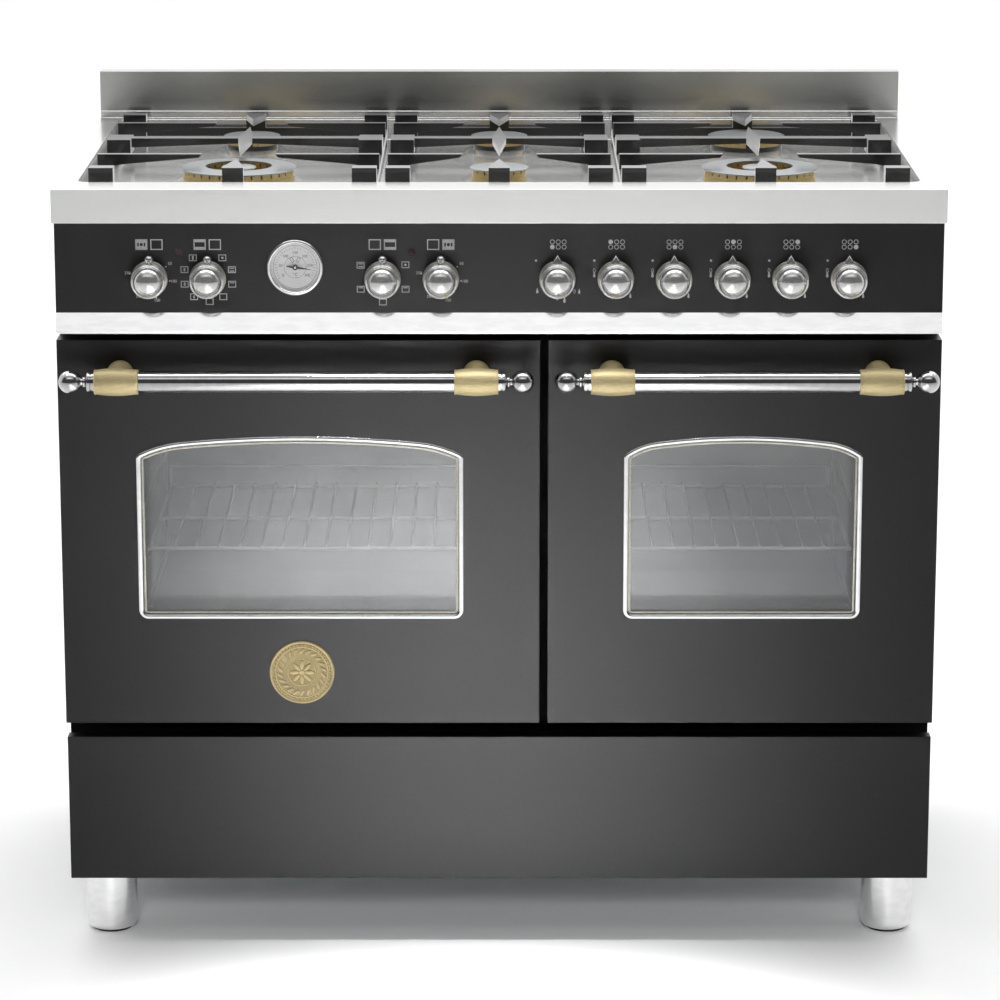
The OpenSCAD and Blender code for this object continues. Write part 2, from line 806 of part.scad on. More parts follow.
// Thermostats and selectors behind the oven knobs, on the back of the panel
module oven_switches() {
    w = 38;
    switch_deep = 40;
    y_end = y_panel + switch_deep;
    neck_l = 4;
    neck_wall = 6;
    y0 = y_panel + sheet;
    color(galvanised) placed() for (x = OVEN_X) difference() {
        union() {
            block([x - w/2, y0 + neck_l, z_knob - w/2], [x + w/2, y_end, z_knob + w/2]);
            rod_y(y0, y0 + neck_l + 1, x, z_knob, spindle_d/2 + neck_wall);
        }
        rod_y(y_panel, y_panel + spindle_in + bore_end, x, z_knob, spindle_d/2 + run);
    }
}

// Looped grill element under each oven's roof, its ends through the rear wall
element_r = 3.2;
element_x = 75;
element_down = 24;
z_element = z_cav + cav_h - element_down;

module heating_elements() {
    front_room = 50;
    back_room = 70;
    terminal_l = 8;
    ya = y_frame_back + front_room;
    yb = y_cav_back - back_room;
    y_end = y_cav_back + sheet + wool_t + terminal_l;
    color(enamel) placed() for (m = MIDS) translate([m, 0, z_element]) union() {
        for (s = [-1, 1]) {
            rod_y(ya, y_end, s*element_x, 0, element_r);
            rod_y(ya, yb, s*element_x/3, 0, element_r);
            translate([s*element_x*2/3, ya, 0]) rotate([0, 0, 180])
                rotate_extrude(angle = 180) translate([element_x/3, 0]) circle(r = element_r);
        }
        translate([0, yb, 0]) rotate_extrude(angle = 180)
            translate([element_x/3, 0]) circle(r = element_r);
    }
}

// Fan motor behind the left oven, and the slotted cover over its blade inside
z_fan = z_cav + cav_h/2;
neck_r = 9;
shaft_r = 3;
cover_w = 230;
cover_d = 34;

module fan_housing() {
    vent = [26, 34, 6];
    motor_r = 32;
    motor_l = 38;
    neck_in = 6;
    bore_l = 10;
    ya = y_cav_back - cover_d;
    y_motor = y_cav_back + sheet + fit + wool_t;
    color(enamel) placed() translate([left_mid, 0, z_fan]) {
        difference() {
            block([-cover_w/2, ya, -cover_w/2], [cover_w/2, y_cav_back, cover_w/2]);
            block([-cover_w/2 + sheet, ya + sheet, -cover_w/2 + sheet],
                [cover_w/2 - sheet, y_cav_back + 1, cover_w/2 - sheet]);
            for (i = [0:11])
                translate([0, ya - 1, 0]) rotate([0, i*30, 0])
                    translate([vent.x, 0, -vent.z/2]) cube([vent.y, sheet + 2, vent.z]);
        }
        difference() {
            union() {
                rod_y(y_cav_back - neck_in, y_motor + 1, 0, 0, neck_r);
                rod_y(y_motor, y_motor + motor_l, 0, 0, motor_r);
            }
            rod_y(y_cav_back - neck_in - 1, y_motor + bore_l, 0, 0, shaft_r + run);
        }
    }
}

// Paddle wheel of the oven fan with its shaft
blade_r = 70;
blade_back = 8;
blade_deep = 19;

module fan_blade() {
    disc_t = 2;
    hub_r = 9;
    paddles = 10;
    paddle_in = 40;
    paddle_t = 1.6;
    paddle_cut = 3;
    shaft_end = 6;
    yb = y_cav_back - blade_back;
    ya = yb - blade_deep;
    color(galvanised) placed() translate([left_mid, 0, z_fan]) union() {
        rod_y(yb - disc_t, yb, 0, 0, blade_r);
        rod_y(ya, yb, 0, 0, hub_r);
        rod_y(ya, y_cav_back + sheet + wool_t + shaft_end, 0, 0, shaft_r);
        for (i = [0:paddles - 1])
            rotate([0, i*360/paddles, 0])
                block([paddle_in, ya + paddle_cut, -paddle_t/2], [blade_r, yb, paddle_t/2]);
    }
}

// Round thermometer: a cup with a rim in front of the panel and a pin for the needle
dial_rim = 4;
dial_in = 24;
dial_pin = 1;
dial_cup = 2;
dial_r = dial_d/2 - dial_rim - 1.5;
y_dial = y_panel + dial_cup;

module thermometer_case() {
    r = dial_d/2;
    pin_l = 4.2;
    color(bright) placed() translate([dial_x, 0, z_dial]) {
        difference() {
            union() {
                rod_y(y_panel - dial_rim, y_panel, 0, 0, r);
                rod_y(y_panel - 1, y_panel + dial_in, 0, 0, r - dial_rim);
            }
            rod_y(y_panel - dial_rim - 1, y_dial, 0, 0, dial_r);
        }
        rod_y(y_dial - pin_l, y_dial, 0, 0, dial_pin);
    }
}

module thermometer_needle() {
    l = dial_r - 6.5;
    y1 = y_dial - fit;
    hub = [3, 3.4];
    blade = [0.6, 2.4];
    tail = 10;
    rest_turn = 8;
    color(iron) placed() translate([dial_x, 0, z_dial]) rotate([0, rest_turn, 0]) difference() {
        union() {
            rod_y(y1 - hub.y, y1, 0, 0, hub.x);
            plate(y1 - blade.x - blade.y, y1 - blade.y)
                polygon([[-tail, 0.6], [-tail, -0.6], [2, -1.4], [l, 0], [2, 1.4]]);
        }
        rod_y(y1 - hub.y - 1, y1 + 1, 0, 0, dial_pin + run);
    }
}

module thermometer_glass() {
    set_back = 0.2;
    pane = 1.2;
    y0 = y_panel - dial_rim + set_back;
    color(smoked, 0.3) placed() rod_y(y0, y0 + pane, dial_x, z_dial, dial_r - curved_gap);
}

// Two red lenses in the control panel
module indicator_lamps() {
    lens = 1.5;
    lamp_in = 14;
    z = z_knob + lamp_up;
    color(lamp_red) placed() for (x = LAMP_X) union() {
        rod_y(y_panel - lens, y_panel, x, z, lamp_d/2);
        rod_y(y_panel - 1, y_panel + lamp_in, x, z, lamp_d/2 - lamp_lip - curved_gap);
    }
}

// Cover over the supply terminals on the back, with a cable gland's hole in its lower side
gland_r = 6.5;

module terminal_box() {
    w = 80;
    h = 70;
    wall = 2;
    floor_t = 4;
    ya = y_back + sheet;
    z0 = z_box_mid - h/2;
    color(iron) placed() difference() {
        block([box_side - w/2, ya, z0], [box_side + w/2, depth, z0 + h]);
        block([box_side - w/2 + wall, ya - 1, z0 + floor_t],
            [box_side + w/2 - wall, depth - wall, z0 + h - wall]);
        rod_z(z0 - 1, z0 + floor_t + 1, box_side, (ya + depth)/2, gland_r);
    }
}

// Steel feet with a stud that screws into the base frame
pad_h = 2.5;
foot_edge = 7;

module feet() {
    r = foot_d/2;
    c = foot_edge;
    color(bright) placed() for (f = FEET) translate([f.x, f.y, 0]) union() {
        rotate_extrude() polygon(concat([[0, pad_h]], arc([r - c, pad_h + c], c, -90, 0, 8),
            [[r, z_drawer], [0, z_drawer]]));
        translate([0, 0, z_drawer - 1]) cylinder(r = stud_r, h = rail - 3);
    }
}

module foot_pads() {
    color(rubber) placed() for (f = FEET) rod_z(0, pad_h, f.x, f.y, foot_d/2 - foot_edge);
}

// Steel channels that carry the drawer, each on two uprights that stand on the base frame
tongue = 8;
z_rail = z_box + 16;

module drawer_rails() {
    web = 2.5;
    post = 30;
    x0 = box_x + 1.5;
    x1 = box_x + tongue + web + 1.5;
    rear_room = 30;
    ya = y_frame_back + sheet + fit;
    yb = ya + box_d - rear_room;
    color(galvanised) placed() both_sides() union() {
        profile(x0, x1) polygon([[ya, z_rail - web], [yb, z_rail - web], [yb, z_rail], [ya, z_rail]]);
        profile(x0, x1) polygon([[ya, z_rail + tongue], [yb, z_rail + tongue],
            [yb, z_rail + tongue + web], [ya, z_rail + tongue + web]]);
        block([x1 - web, ya, z_rail - web], [x1, yb, z_rail + tongue + web]);
        for (y = [ya, yb - post]) {
            block([x1 - web, y, z_drawer + rail], [x1, y + post, z_rail]);
            block([x1 - web, y, z_drawer + rail], [body_x - sheet - fit, y + post, z_drawer + rail + web]);
        }
    }
}

// Hinge arms through slots in the front frame, each with its plate behind and its pin in front
module hinge_brackets() {
    pin_out = 7;
    pin_l = arm_w + 2*arm_play + 2*pin_out;
    plate_w = 32;
    plate_t = 4;
    plate_h = 28;
    color(galvanised) placed() for (x = ARMS) {
        difference() {
            union() {
                rod_x(x - arm_w/2, x + arm_w/2, hinge_in, z_pin, arm_r);
                block([x - arm_w/2, hinge_in, z_pin - arm_r], [x + arm_w/2, y_frame_back + 1, z_pin + arm_r]);
                block([x - plate_w/2, y_frame_back, z_pin - plate_h/2],
                    [x + plate_w/2, y_frame_back + plate_t, z_pin + plate_h/2]);
            }
            rod_x(x - arm_w, x + arm_w, hinge_in, z_pin, pin_r + run);
        }
        rod_x(x - pin_l/2, x + pin_l/2, hinge_in, z_pin, pin_r);
    }
}

// Notch in the rear lower corner of a door that leaves the hinge arm free through its swing
module arm_notches(d) {
    for (x = [d[0] + hinge_side, d[0] + d[1] - hinge_side])
        block([x - arm_w/2 - arm_play, hinge_in - arm_r - arm_play, z_door - 1],
            [x + arm_w/2 + arm_play, door_t + 1, z_pin + arm_r + arm_play]);
}

// Front tray of a door: enamelled sheet folded back on all four sides, with the window's opening
seat_w = 8;
pan_wall = 1.5;

module door_skin(d) {
    tray_in = 4;
    back = door_t - tray_in;
    color(satin_black) placed() difference() {
        block([d[0], 0, z_door], [d[0] + d[1], back, z_door_top]);
        block([d[0] + skin_t, skin_t, z_door + skin_t],
            [d[0] + d[1] - skin_t, back + 1, z_door_top - skin_t]);
        plate(-1, skin_t + 1) translate([d[0] + d[1]/2, z_door + win_low]) polygon(window(d[3], bead_w/2));
        arm_notches(d);
    }
}

// Inner pan of a door with a tunnel round the glass and a block on each side of the hinge arms
module door_frame(d) {
    ya = skin_t + glass_t + 2*fit;
    m = d[0] + d[1]/2;
    g = skin_t + fit;
    wall = pan_wall;
    hinge_block = 12;
    pin_depth = 11;
    x0 = d[0] + g;
    x1 = d[0] + d[1] - g;
    z0 = z_door + g;
    z1 = z_door_top - g;
    w = d[3]/2;
    zw = z_door + win_low;
    color(enamel) placed() difference() {
        union() {
            difference() {
                block([x0, ya, z0], [x1, door_t, z1]);
                block([x0 + wall, ya - 1, z0 + wall], [x1 - wall, door_t - wall, z1 - wall]);
            }
            plate(ya, door_t) polygon(rounded([m - w - seat_w - wall, zw - seat_w - wall],
                [m + w + seat_w + wall, zw + win_h + seat_w + wall], 12));
            for (x = [d[0] + hinge_side, d[0] + d[1] - hinge_side])
                block([x - hinge_block, hinge_in - arm_r - 2, z0],
                    [x + hinge_block, door_t, z_pin + arm_r + 3]);
        }
        plate(ya - 1, door_t - wall) polygon(rounded([m - w - seat_w, zw - seat_w],
            [m + w + seat_w, zw + win_h + seat_w], 10));
        plate(ya - 1, door_t + 1) polygon(rounded([m - w, zw], [m + w, zw + win_h], 8));
        arm_notches(d);
        for (x = [d[0] + hinge_side, d[0] + d[1] - hinge_side])
            rod_x(x - pin_depth, x + pin_depth, hinge_in, z_pin, pin_r + run);
    }
}

// Outer pane behind the tray and inner pane on the pan's ledge
module door_glass(d) {
    m = d[0] + d[1]/2;
    w = d[3]/2;
    zw = z_door + win_low;
    over = seat_w + 3;
    y_in = door_t - pan_wall - fit;
    color(smoked, 0.5) placed() {
        plate(skin_t + fit, skin_t + fit + glass_t) polygon(rounded([m - w - over, zw - over],
            [m + w + over, zw + win_h + over], 8));
        plate(y_in - glass_t, y_in) polygon(rounded([m - w - seat_w + fit, zw - seat_w + fit],
            [m + w + seat_w - fit, zw + win_h + seat_w - fit], 10));
    }
}

// Bead on the tray round the window, with a lip that reaches back to the glass
module window_trim(d) {
    proud = 1.8;
    color(bright) placed() translate([d[0] + d[1]/2, 0, z_door + win_low]) union() {
        plate(-proud, 0) difference() {
            polygon(window(d[3]));
            polygon(window(d[3], bead_w));
        }
        plate(-1, skin_t) difference() {
            polygon(window(d[3], bead_w/2 + curved_gap));
            polygon(window(d[3], bead_w));
        }
    }
}

// Handle bar with a collar, a neck, a small bead and a ball at each end
module handle_bar(d) {
    m = d[0] + d[1]/2;
    l = d[1]/2 - handle_set;
    z = z_door + bar_up;
    ball = ball_d/2;
    collar = 8;
    rim = 0.8;
    neck_bar_r = 4.5;
    bead_r = 6;
    x_collar = d[1]/2 - bracket_set + barrel_l/2;
    color(bright) placed() translate([m, 0, 0]) union() {
        rod_x(-x_collar - 1, x_collar + 1, -bar_out, z, bar_d/2);
        for (s = [-1, 1]) translate([0, -bar_out, z]) rotate([0, s*90, 0]) {
            translate([0, 0, x_collar + fit]) cylinder(r = bar_d/2 + rim, h = collar);
            translate([0, 0, x_collar]) cylinder(r = neck_bar_r, h = l - x_collar - ball);
            translate([0, 0, (x_collar + collar + l - 2*ball)/2 + 1]) sphere(r = bead_r);
            translate([0, 0, l - ball]) sphere(r = ball);
        }
    }
}

// Brass brackets: a barrel round the bar and a tapered post to the door
module handle_brackets(d) {
    m = d[0] + d[1]/2;
    z = z_door + bar_up;
    r = barrel_d/2;
    h = barrel_l/2;
    color(brass) placed() translate([m, 0, z]) for (s = [-1, 1])
        translate([s*(d[1]/2 - bracket_set), 0, 0]) difference() {
            union() {
                translate([0, -bar_out, 0]) rotate([0, 90, 0]) rotate_extrude()
                    polygon([[0, -h], [r - 2.5, -h], [r - 1.8, -h + 1], [r - 0.6, -h/2], [r, 0],
                        [r - 0.6, h/2], [r - 1.8, h - 1], [r - 2.5, h], [0, h]]);
                translate([0, -bar_out, 0]) rotate([-90, 0, 0])
                    cylinder(r1 = post_d/2 - 3, r2 = post_d/2, h = bar_out);
            }
            rod_x(-h - 1, h + 1, -bar_out, 0, bar_d/2 + 2*run);
        }
}

// Round brass medallion with a plain rosette in relief
medal_up = 61;

module door_medallion() {
    r = medal_d/2;
    petal = 0.3*r;
    petals = 8;
    disc_t = 1.8;
    relief = 2.6;
    rim = [3.5, 3];
    color(brass) placed() translate([left_mid, 0, z_door + medal_up]) union() {
        rod_y(-disc_t, 0, 0, 0, r);
        plate(-rim.y, -1) difference() {
            circle(r = r);
            circle(r = r - rim.x);
        }
        plate(-relief, -1) for (i = [0:petals - 1])
            rotate(i*360/petals) translate([0.52*r, 0]) intersection() {
                translate([0, -0.6*petal]) circle(r = petal);
                translate([0, 0.6*petal]) circle(r = petal);
            }
        rod_y(-rim.y, -1, 0, 0, 0.16*r);
    }
}

module left_door_skin() { door_skin(DOORS[0]); }
module left_door_frame() { door_frame(DOORS[0]); }
module left_door_glass() { door_glass(DOORS[0]); }
module left_window_trim() { window_trim(DOORS[0]); }
module left_handle_bar() { handle_bar(DOORS[0]); }
module left_handle_brackets() { handle_brackets(DOORS[0]); }
module right_door_skin() { door_skin(DOORS[1]); }
module right_door_frame() { door_frame(DOORS[1]); }
module right_door_glass() { door_glass(DOORS[1]); }
module right_window_trim() { window_trim(DOORS[1]); }
module right_handle_bar() { handle_bar(DOORS[1]); }
module right_handle_brackets() { handle_brackets(DOORS[1]); }

// Double-skinned drawer front, open below
module drawer_front() {
    side_gap = 1;
    x = body_x - side_gap;
    color(satin_black) placed() difference() {
        block([-x, 0, z_drawer], [x, front_t, z_drawer_top]);
        block([-x + skin_t, skin_t, z_drawer - 1], [x - skin_t, front_t - skin_t, z_drawer_top - skin_t]);
    }
}

// Sheet box behind the drawer front, with a tongue along each side
module drawer_box() {
    wall = 1.5;
    tongue_root = 0.5;
    tongue_end = 20;
    tongue_front = 6;
    color(galvanised) placed() union() {
        difference() {
            block([-box_x, front_t, z_box], [box_x, front_t + box_d, z_box + box_h]);
            block([-box_x + wall, front_t + wall, z_box + wall],
                [box_x - wall, front_t + box_d - wall, z_box + box_h + 1]);
        }
        both_sides()
            block([box_x - tongue_root, y_frame_back + tongue_front, z_rail + fit],
                [box_x + tongue, front_t + box_d - tongue_end, z_rail + tongue - fit]);
    }
}

// Body of revolution shared by all knobs: flange, waist and dome, with the spindle's hole
spindle_grip = 20;
wedge_t = 4.5;

module knob_body(ball, low_pointer) {
    r = knob_d/2;
    waist = 0.56*r;
    dome = 0.8*r;
    gap = 1;
    tip = knob_l;
    union() {
        rotate_extrude() difference() {
            union() {
                polygon(concat([[0, gap], [r - 0.8, gap], [r, gap + 1], [r, gap + 3], [r - 2, gap + 4.5],
                    [waist + 2, gap + 9], [waist, gap + 13], [dome - 1.5, tip - 16], [dome, tip - 13]],
                    [for (t = [10:10:80]) [dome*cos(t), tip - 12 + 12*sin(t)]], [[0, tip]]));
            }
            square([spindle_d/2 + run, spindle_grip]);
        }
        if (ball)
            translate([0, r + 2.2, gap + 4]) union() {
                sphere(r = 4.4);
                translate([-2, -6, -3]) cube([4, 6, 4]);
            }
        else
            translate([0, 0, gap]) linear_extrude(wedge_t)
                polygon([[-5.5, r - 2.5], [5.5, r - 2.5], [0, r + 8.5]]);
        if (low_pointer)
            translate([0, 0, gap]) linear_extrude(wedge_t)
                polygon([[-4.5, -r + 2.5], [4.5, -r + 2.5], [0, -r - 4.5]]);
    }
}

// Knob in front of the panel and its spindle, which reaches into the valve or switch behind
module knob(x, ball = false, low_pointer = false) {
    color(bright) placed() translate([x, y_panel, z_knob]) rotate([90, 0, 0]) {
        knob_body(ball, low_pointer);
        translate([0, 0, -spindle_in])
            cylinder(r = spindle_d/2, h = spindle_in + spindle_grip - fit);
    }
}

module left_thermostat_knob() { knob(OVEN_X[0], ball = true); }
module left_function_knob() { knob(OVEN_X[1], ball = true); }
module right_function_knob() { knob(OVEN_X[2], ball = true); }
module right_thermostat_knob() { knob(OVEN_X[3], ball = true); }
module front_left_burner_knob() { knob(GAS_X[0], low_pointer = true); }
module rear_left_burner_knob() { knob(GAS_X[1]); }
module front_centre_burner_knob() { knob(GAS_X[2]); }
module rear_centre_burner_knob() { knob(GAS_X[3]); }
module rear_right_burner_knob() { knob(GAS_X[4]); }
module front_right_burner_knob() { knob(GAS_X[5]); }

// Cast iron pan support over two burners: a low frame, corner blocks, fingers and a middle bar
mid_x0 = -burner_pitch/2 + 22;
well_x = width/2 - rim_side;

module pan_support(x0, x1, xc) {
    z0 = z_well + 7;
    z1 = z0 + 10;
    tip = 4;
    root = 12;
    corner = 20;
    mid_block = 22;
    mid_deep = 11;
    mid_tip = 6;
    post = 12;
    lozenge = 7;
    finger = 8;
    seat = 0.1;
    ya = grate_front;
    yb = grate_rear;
    y_mid = (row_front + row_rear)/2 + 4;
    low = z1 - 1;
    color(iron) placed() union() {
        difference() {
            block([x0, ya, z0], [x1, yb, z1]);
            block([x0 + bar_w, ya + bar_w, z0 - 1], [x1 - bar_w, yb - bar_w, z1 + 1]);
        }
        for (x = [x0, x1 - block_w], y = [ya, yb - corner])
            block([x, y, z_well + seat], [x + block_w, y + corner, z_grate]);
        for (x = [x0, x1 - block_w])
            block([x, y_mid - mid_block, low], [x + block_w, y_mid + mid_block, z_grate]);
        for (y = [row_front, row_rear]) {
            plate(y - bar_w/2, y + bar_w/2) polygon([[x0, low], [x0 + block_w, z_grate - root],
                [xc - finger_gap, z_grate - tip], [xc - finger_gap + 3, z_grate], [x0, z_grate]]);
            plate(y - bar_w/2, y + bar_w/2) polygon([[x1, low], [x1 - block_w, z_grate - root],
                [xc + finger_gap, z_grate - tip], [xc + finger_gap - 3, z_grate], [x1, z_grate]]);
        }
        plate(y_mid - bar_w, y_mid + bar_w) polygon([[x0, low], [x0 + block_w, z_grate - mid_deep],
            [xc, z_grate - mid_tip], [x1 - block_w, z_grate - mid_deep], [x1, low], [x1, z_grate],
            [x0, z_grate]]);
        translate([0, 0, z_grate - lozenge]) linear_extrude(lozenge) polygon([[xc - bar_w, y_mid],
            [xc, row_front + 24], [xc + bar_w, y_mid], [xc, row_rear - 34]]);
        translate([0, 0, z_grate - finger]) linear_extrude(finger) polygon([[xc - post, ya],
            [xc + post, ya], [xc + post, ya + 10], [xc, row_front - 38], [xc - post, ya + 10]]);
        block([xc - post, ya, z0], [xc + post, ya + bar_w, z_grate]);
        translate([0, 0, z_grate - finger]) linear_extrude(finger) polygon([[xc - post, yb],
            [xc + post, yb], [xc + post, yb - 8], [xc, row_rear + 26], [xc - post, yb - 8]]);
        block([xc - post, yb - bar_w, z0], [xc + post, yb, z_grate]);
    }
}

module left_pan_support() {
    pan_support(-well_x + grate_side, mid_x0 - grate_gap, -burner_pitch);
}

module centre_pan_support() {
    pan_support(mid_x0, -mid_x0, 0);
}

module right_pan_support() {
    pan_support(-mid_x0 + grate_gap, well_x - grate_side, burner_pitch);
}

side_panels();
back_panel();
base_frame();
front_frame();
hob_top();
backguard();
control_panel();
fascia_trim();
left_oven_cavity();
right_oven_cavity();
oven_insulation();
rack_guides();
oven_racks();
door_seals();
burner_bases();
burner_crowns();
burner_caps();
gas_manifold();
gas_valves();
oven_switches();
heating_elements();
fan_housing();
thermometer_case();
thermometer_glass();
indicator_lamps();
feet();
foot_pads();
drawer_rails();
hinge_brackets();
terminal_box();
left_door_skin();
left_door_frame();
left_door_glass();
left_window_trim();
left_handle_bar();
left_handle_brackets();
door_medallion();
right_door_skin();
right_door_frame();
right_door_glass();
right_window_trim();
right_handle_bar();
right_handle_brackets();
drawer_front();
drawer_box();
left_thermostat_knob();
left_function_knob();
right_function_knob();
right_thermostat_knob();
front_left_burner_knob();
rear_left_burner_knob();
front_centre_burner_knob();
rear_centre_burner_knob();
rear_right_burner_knob();
front_right_burner_knob();
left_pan_support();
centre_pan_support();
right_pan_support();
fan_blade();
thermometer_needle();
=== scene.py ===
# %% [markdown]
# # A range cooker, dressed for its portrait
# The CAD model gives every part its true size and place. This script adds what a camera sees:
# polished rims, brushed steel, satin enamel, brass, cast iron, printed marks and soft light.
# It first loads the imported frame, and nothing in the frame is moved or reshaped.

# %% Load the frame
import json
import math

import bmesh
import bpy
from mathutils import Matrix, Vector


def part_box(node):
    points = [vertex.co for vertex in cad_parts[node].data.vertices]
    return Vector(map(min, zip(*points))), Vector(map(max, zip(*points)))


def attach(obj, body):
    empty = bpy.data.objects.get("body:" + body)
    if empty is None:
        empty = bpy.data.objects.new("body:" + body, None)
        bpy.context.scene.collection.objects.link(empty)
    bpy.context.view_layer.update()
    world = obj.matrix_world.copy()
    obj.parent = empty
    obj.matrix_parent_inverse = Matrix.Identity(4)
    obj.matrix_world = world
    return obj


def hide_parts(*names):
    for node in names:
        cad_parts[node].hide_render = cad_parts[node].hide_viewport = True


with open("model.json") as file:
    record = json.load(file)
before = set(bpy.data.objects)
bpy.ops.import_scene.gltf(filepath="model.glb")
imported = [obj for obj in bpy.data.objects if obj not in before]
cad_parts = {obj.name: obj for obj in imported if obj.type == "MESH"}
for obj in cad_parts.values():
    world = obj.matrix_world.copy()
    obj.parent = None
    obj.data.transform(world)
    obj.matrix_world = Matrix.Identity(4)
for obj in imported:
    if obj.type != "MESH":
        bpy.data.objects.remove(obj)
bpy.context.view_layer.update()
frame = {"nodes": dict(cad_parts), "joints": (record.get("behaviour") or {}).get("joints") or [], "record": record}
MM = 0.001

# %% [markdown]
# ## The camera
# The photograph was taken with a long lens from a little above the worktop. The worktop's edges
# and the body's upright lines give its place: 4.36 m in front, 1.58 m up, looking 13.5 degrees
# down. A long lens keeps the sides of the cooker nearly parallel, as they are in the photograph.

# %% Camera
SENSOR_MM, FOCAL_PX, PICTURE_PX = 36.0, 3958, 1000
CAMERA_SIDE, CAMERA_BACK, CAMERA_UP, TILT_DOWN = 0.00095, 4.364, 1.576, 13.47
worktop_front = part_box("hob_top")[0].y
lens_camera = bpy.data.cameras.new("portrait_camera")
lens_camera.sensor_width = SENSOR_MM
lens_camera.lens = SENSOR_MM * FOCAL_PX / PICTURE_PX
camera = bpy.data.objects.new("portrait_camera", lens_camera)
camera.location = (CAMERA_SIDE, worktop_front - CAMERA_BACK, CAMERA_UP)
camera.rotation_euler = (math.radians(90 - TILT_DOWN), 0, 0)
bpy.context.scene.collection.objects.link(camera)
bpy.context.scene.camera = camera
print("camera", [round(v, 3) for v in camera.location], "lens", round(lens_camera.lens, 1))

# %% [markdown]
# ## One colour function and one node function
# Colours are given in sRGB, as on a paint card, but a shader works with linear light.
# One function turns the card's value into the shader's. Another adds a node, sets its values and
# links its inputs. Most finishes need only one noise pattern, which moves the colour, the
# roughness and sometimes a bump, so a third function makes such a finish from a short recipe.

# %% Helpers for materials
def paint(card):
    """Linear colour for an sRGB hex value such as 'c8b27a'."""
    shares = [int(card[i:i + 2], 16) / 255 for i in (0, 2, 4)]
    return tuple(c / 12.92 if c <= 0.04045 else ((c + 0.055) / 1.055) ** 2.4 for c in shares) + (1.0,)


def node(owner, kind, settings=None, **inputs):
    """Adds a node to a material or sky. A value that is a socket is linked, any other is set."""
    made = owner.node_tree.nodes.new(kind)
    for key, value in (settings or {}).items():
        setattr(made, key, value)
    for key, value in inputs.items():
        name = int(key[1:]) if key[0] == "_" else key.replace("_", " ")
        socket = made.inputs[name]
        if isinstance(value, bpy.types.NodeSocket):
            owner.node_tree.links.new(value, socket)
        else:
            socket.default_value = value
    return made


def start_material(name, **sockets):
    """A new material with its Principled shader. Constants go on the shader's own sockets."""
    made = bpy.data.materials.new(name)
    made.use_nodes = True
    shader = made.node_tree.nodes["Principled BSDF"]
    for key, value in sockets.items():
        shader.inputs[key.replace("_", " ")].default_value = value
    return made, shader


def grain(material, scale, stretch=(1, 1, 1), detail=3.0, kind="ShaderNodeTexNoise"):
    """Noise in real metres: scale is repeats per metre, stretch slows it along an axis."""
    place = node(material, "ShaderNodeTexCoord")
    spread = node(material, "ShaderNodeMapping", Vector=place.outputs["Object"], Scale=stretch)
    extra = {} if kind == "ShaderNodeTexVoronoi" else {"Detail": detail}
    return node(material, kind, Vector=spread.outputs["Vector"], Scale=scale, **extra)


def tint(material, shader, pattern, dark, light, low=0.35, high=0.65):
    """Colour that wanders between two cards with a pattern."""
    ramp = node(material, "ShaderNodeValToRGB", Fac=pattern)
    ramp.color_ramp.elements[0].position, ramp.color_ramp.elements[1].position = low, high
    ramp.color_ramp.elements[0].color, ramp.color_ramp.elements[1].color = paint(dark), paint(light)
    material.node_tree.links.new(ramp.outputs["Color"], shader.inputs["Base Color"])


def sheen_range(material, shader, pattern, low, high):
    """Roughness that wanders between two values with a pattern."""
    scaled = node(material, "ShaderNodeMapRange", Value=pattern, _3=low, _4=high)
    material.node_tree.links.new(scaled.outputs[0], shader.inputs["Roughness"])


def relief(material, shader, pattern, depth_mm, strength):
    """Bump of a real depth."""
    bump = node(material, "ShaderNodeBump", Height=pattern, Distance=depth_mm * MM, Strength=strength)
    material.node_tree.links.new(bump.outputs["Normal"], shader.inputs["Normal"])


def recipe(name, scale, cards, rough, bump=None, stretch=(1, 1, 1), detail=3.0, ends=(0.35, 0.65),
           **sockets):
    """A finish from one noise: two colour cards, low and high roughness, bump depth and strength."""
    made, shader = start_material(name, **sockets)
    pattern = grain(made, scale, stretch, detail).outputs["Fac"]
    tint(made, shader, pattern, *cards, *ends)
    sheen_range(made, shader, pattern, *rough)
    if bump:
        relief(made, shader, pattern, *bump)
    return made


print("helpers ready")

# %% [markdown]
# ## Finishes
# ### Satin black enamel
# The sides, doors, panel and drawer are pressed steel with a fired satin enamel. It is almost
# black, and what the eye reads as grey is a soft reflection of the floor. A very faint orange
# peel, about 4 mm across, keeps long reflections from looking like glass. The frame behind the
# doors gets a matt black, darker than the enamel, which paints the shade in the gaps round the
# doors, so that they read as black lines.

# %% Satin black enamel
satin_black = recipe("satin_black_enamel", 240, ("0c0c0d", "101011"), (0.3, 0.38), (0.02, 0.35),
                     detail=2.0, Specular_IOR_Level=0.26)
# The frame's black is darker than the enamel: painted shade for the gaps round the doors.
gap_shade_matt_black = recipe("matt_black_painted_gap_shade", 240, ("070707", "0b0b0c"), (0.7, 0.85),
                    detail=2.0, Specular_IOR_Level=0.1)
print(satin_black.name, gap_shade_matt_black.name)

# %% [markdown]
# ### Brushed worktop steel
# The worktop and its splashback are stainless steel brushed along their length. Brushing leaves
# scratches a few hundredths of a millimetre apart, far too fine for this picture, so they are
# drawn 0.5 mm and 1 mm apart and stretched along X. They move only the colour and the roughness.
# The worktop's shader is anisotropic as well. The splashback has broad, pale clouds, too.

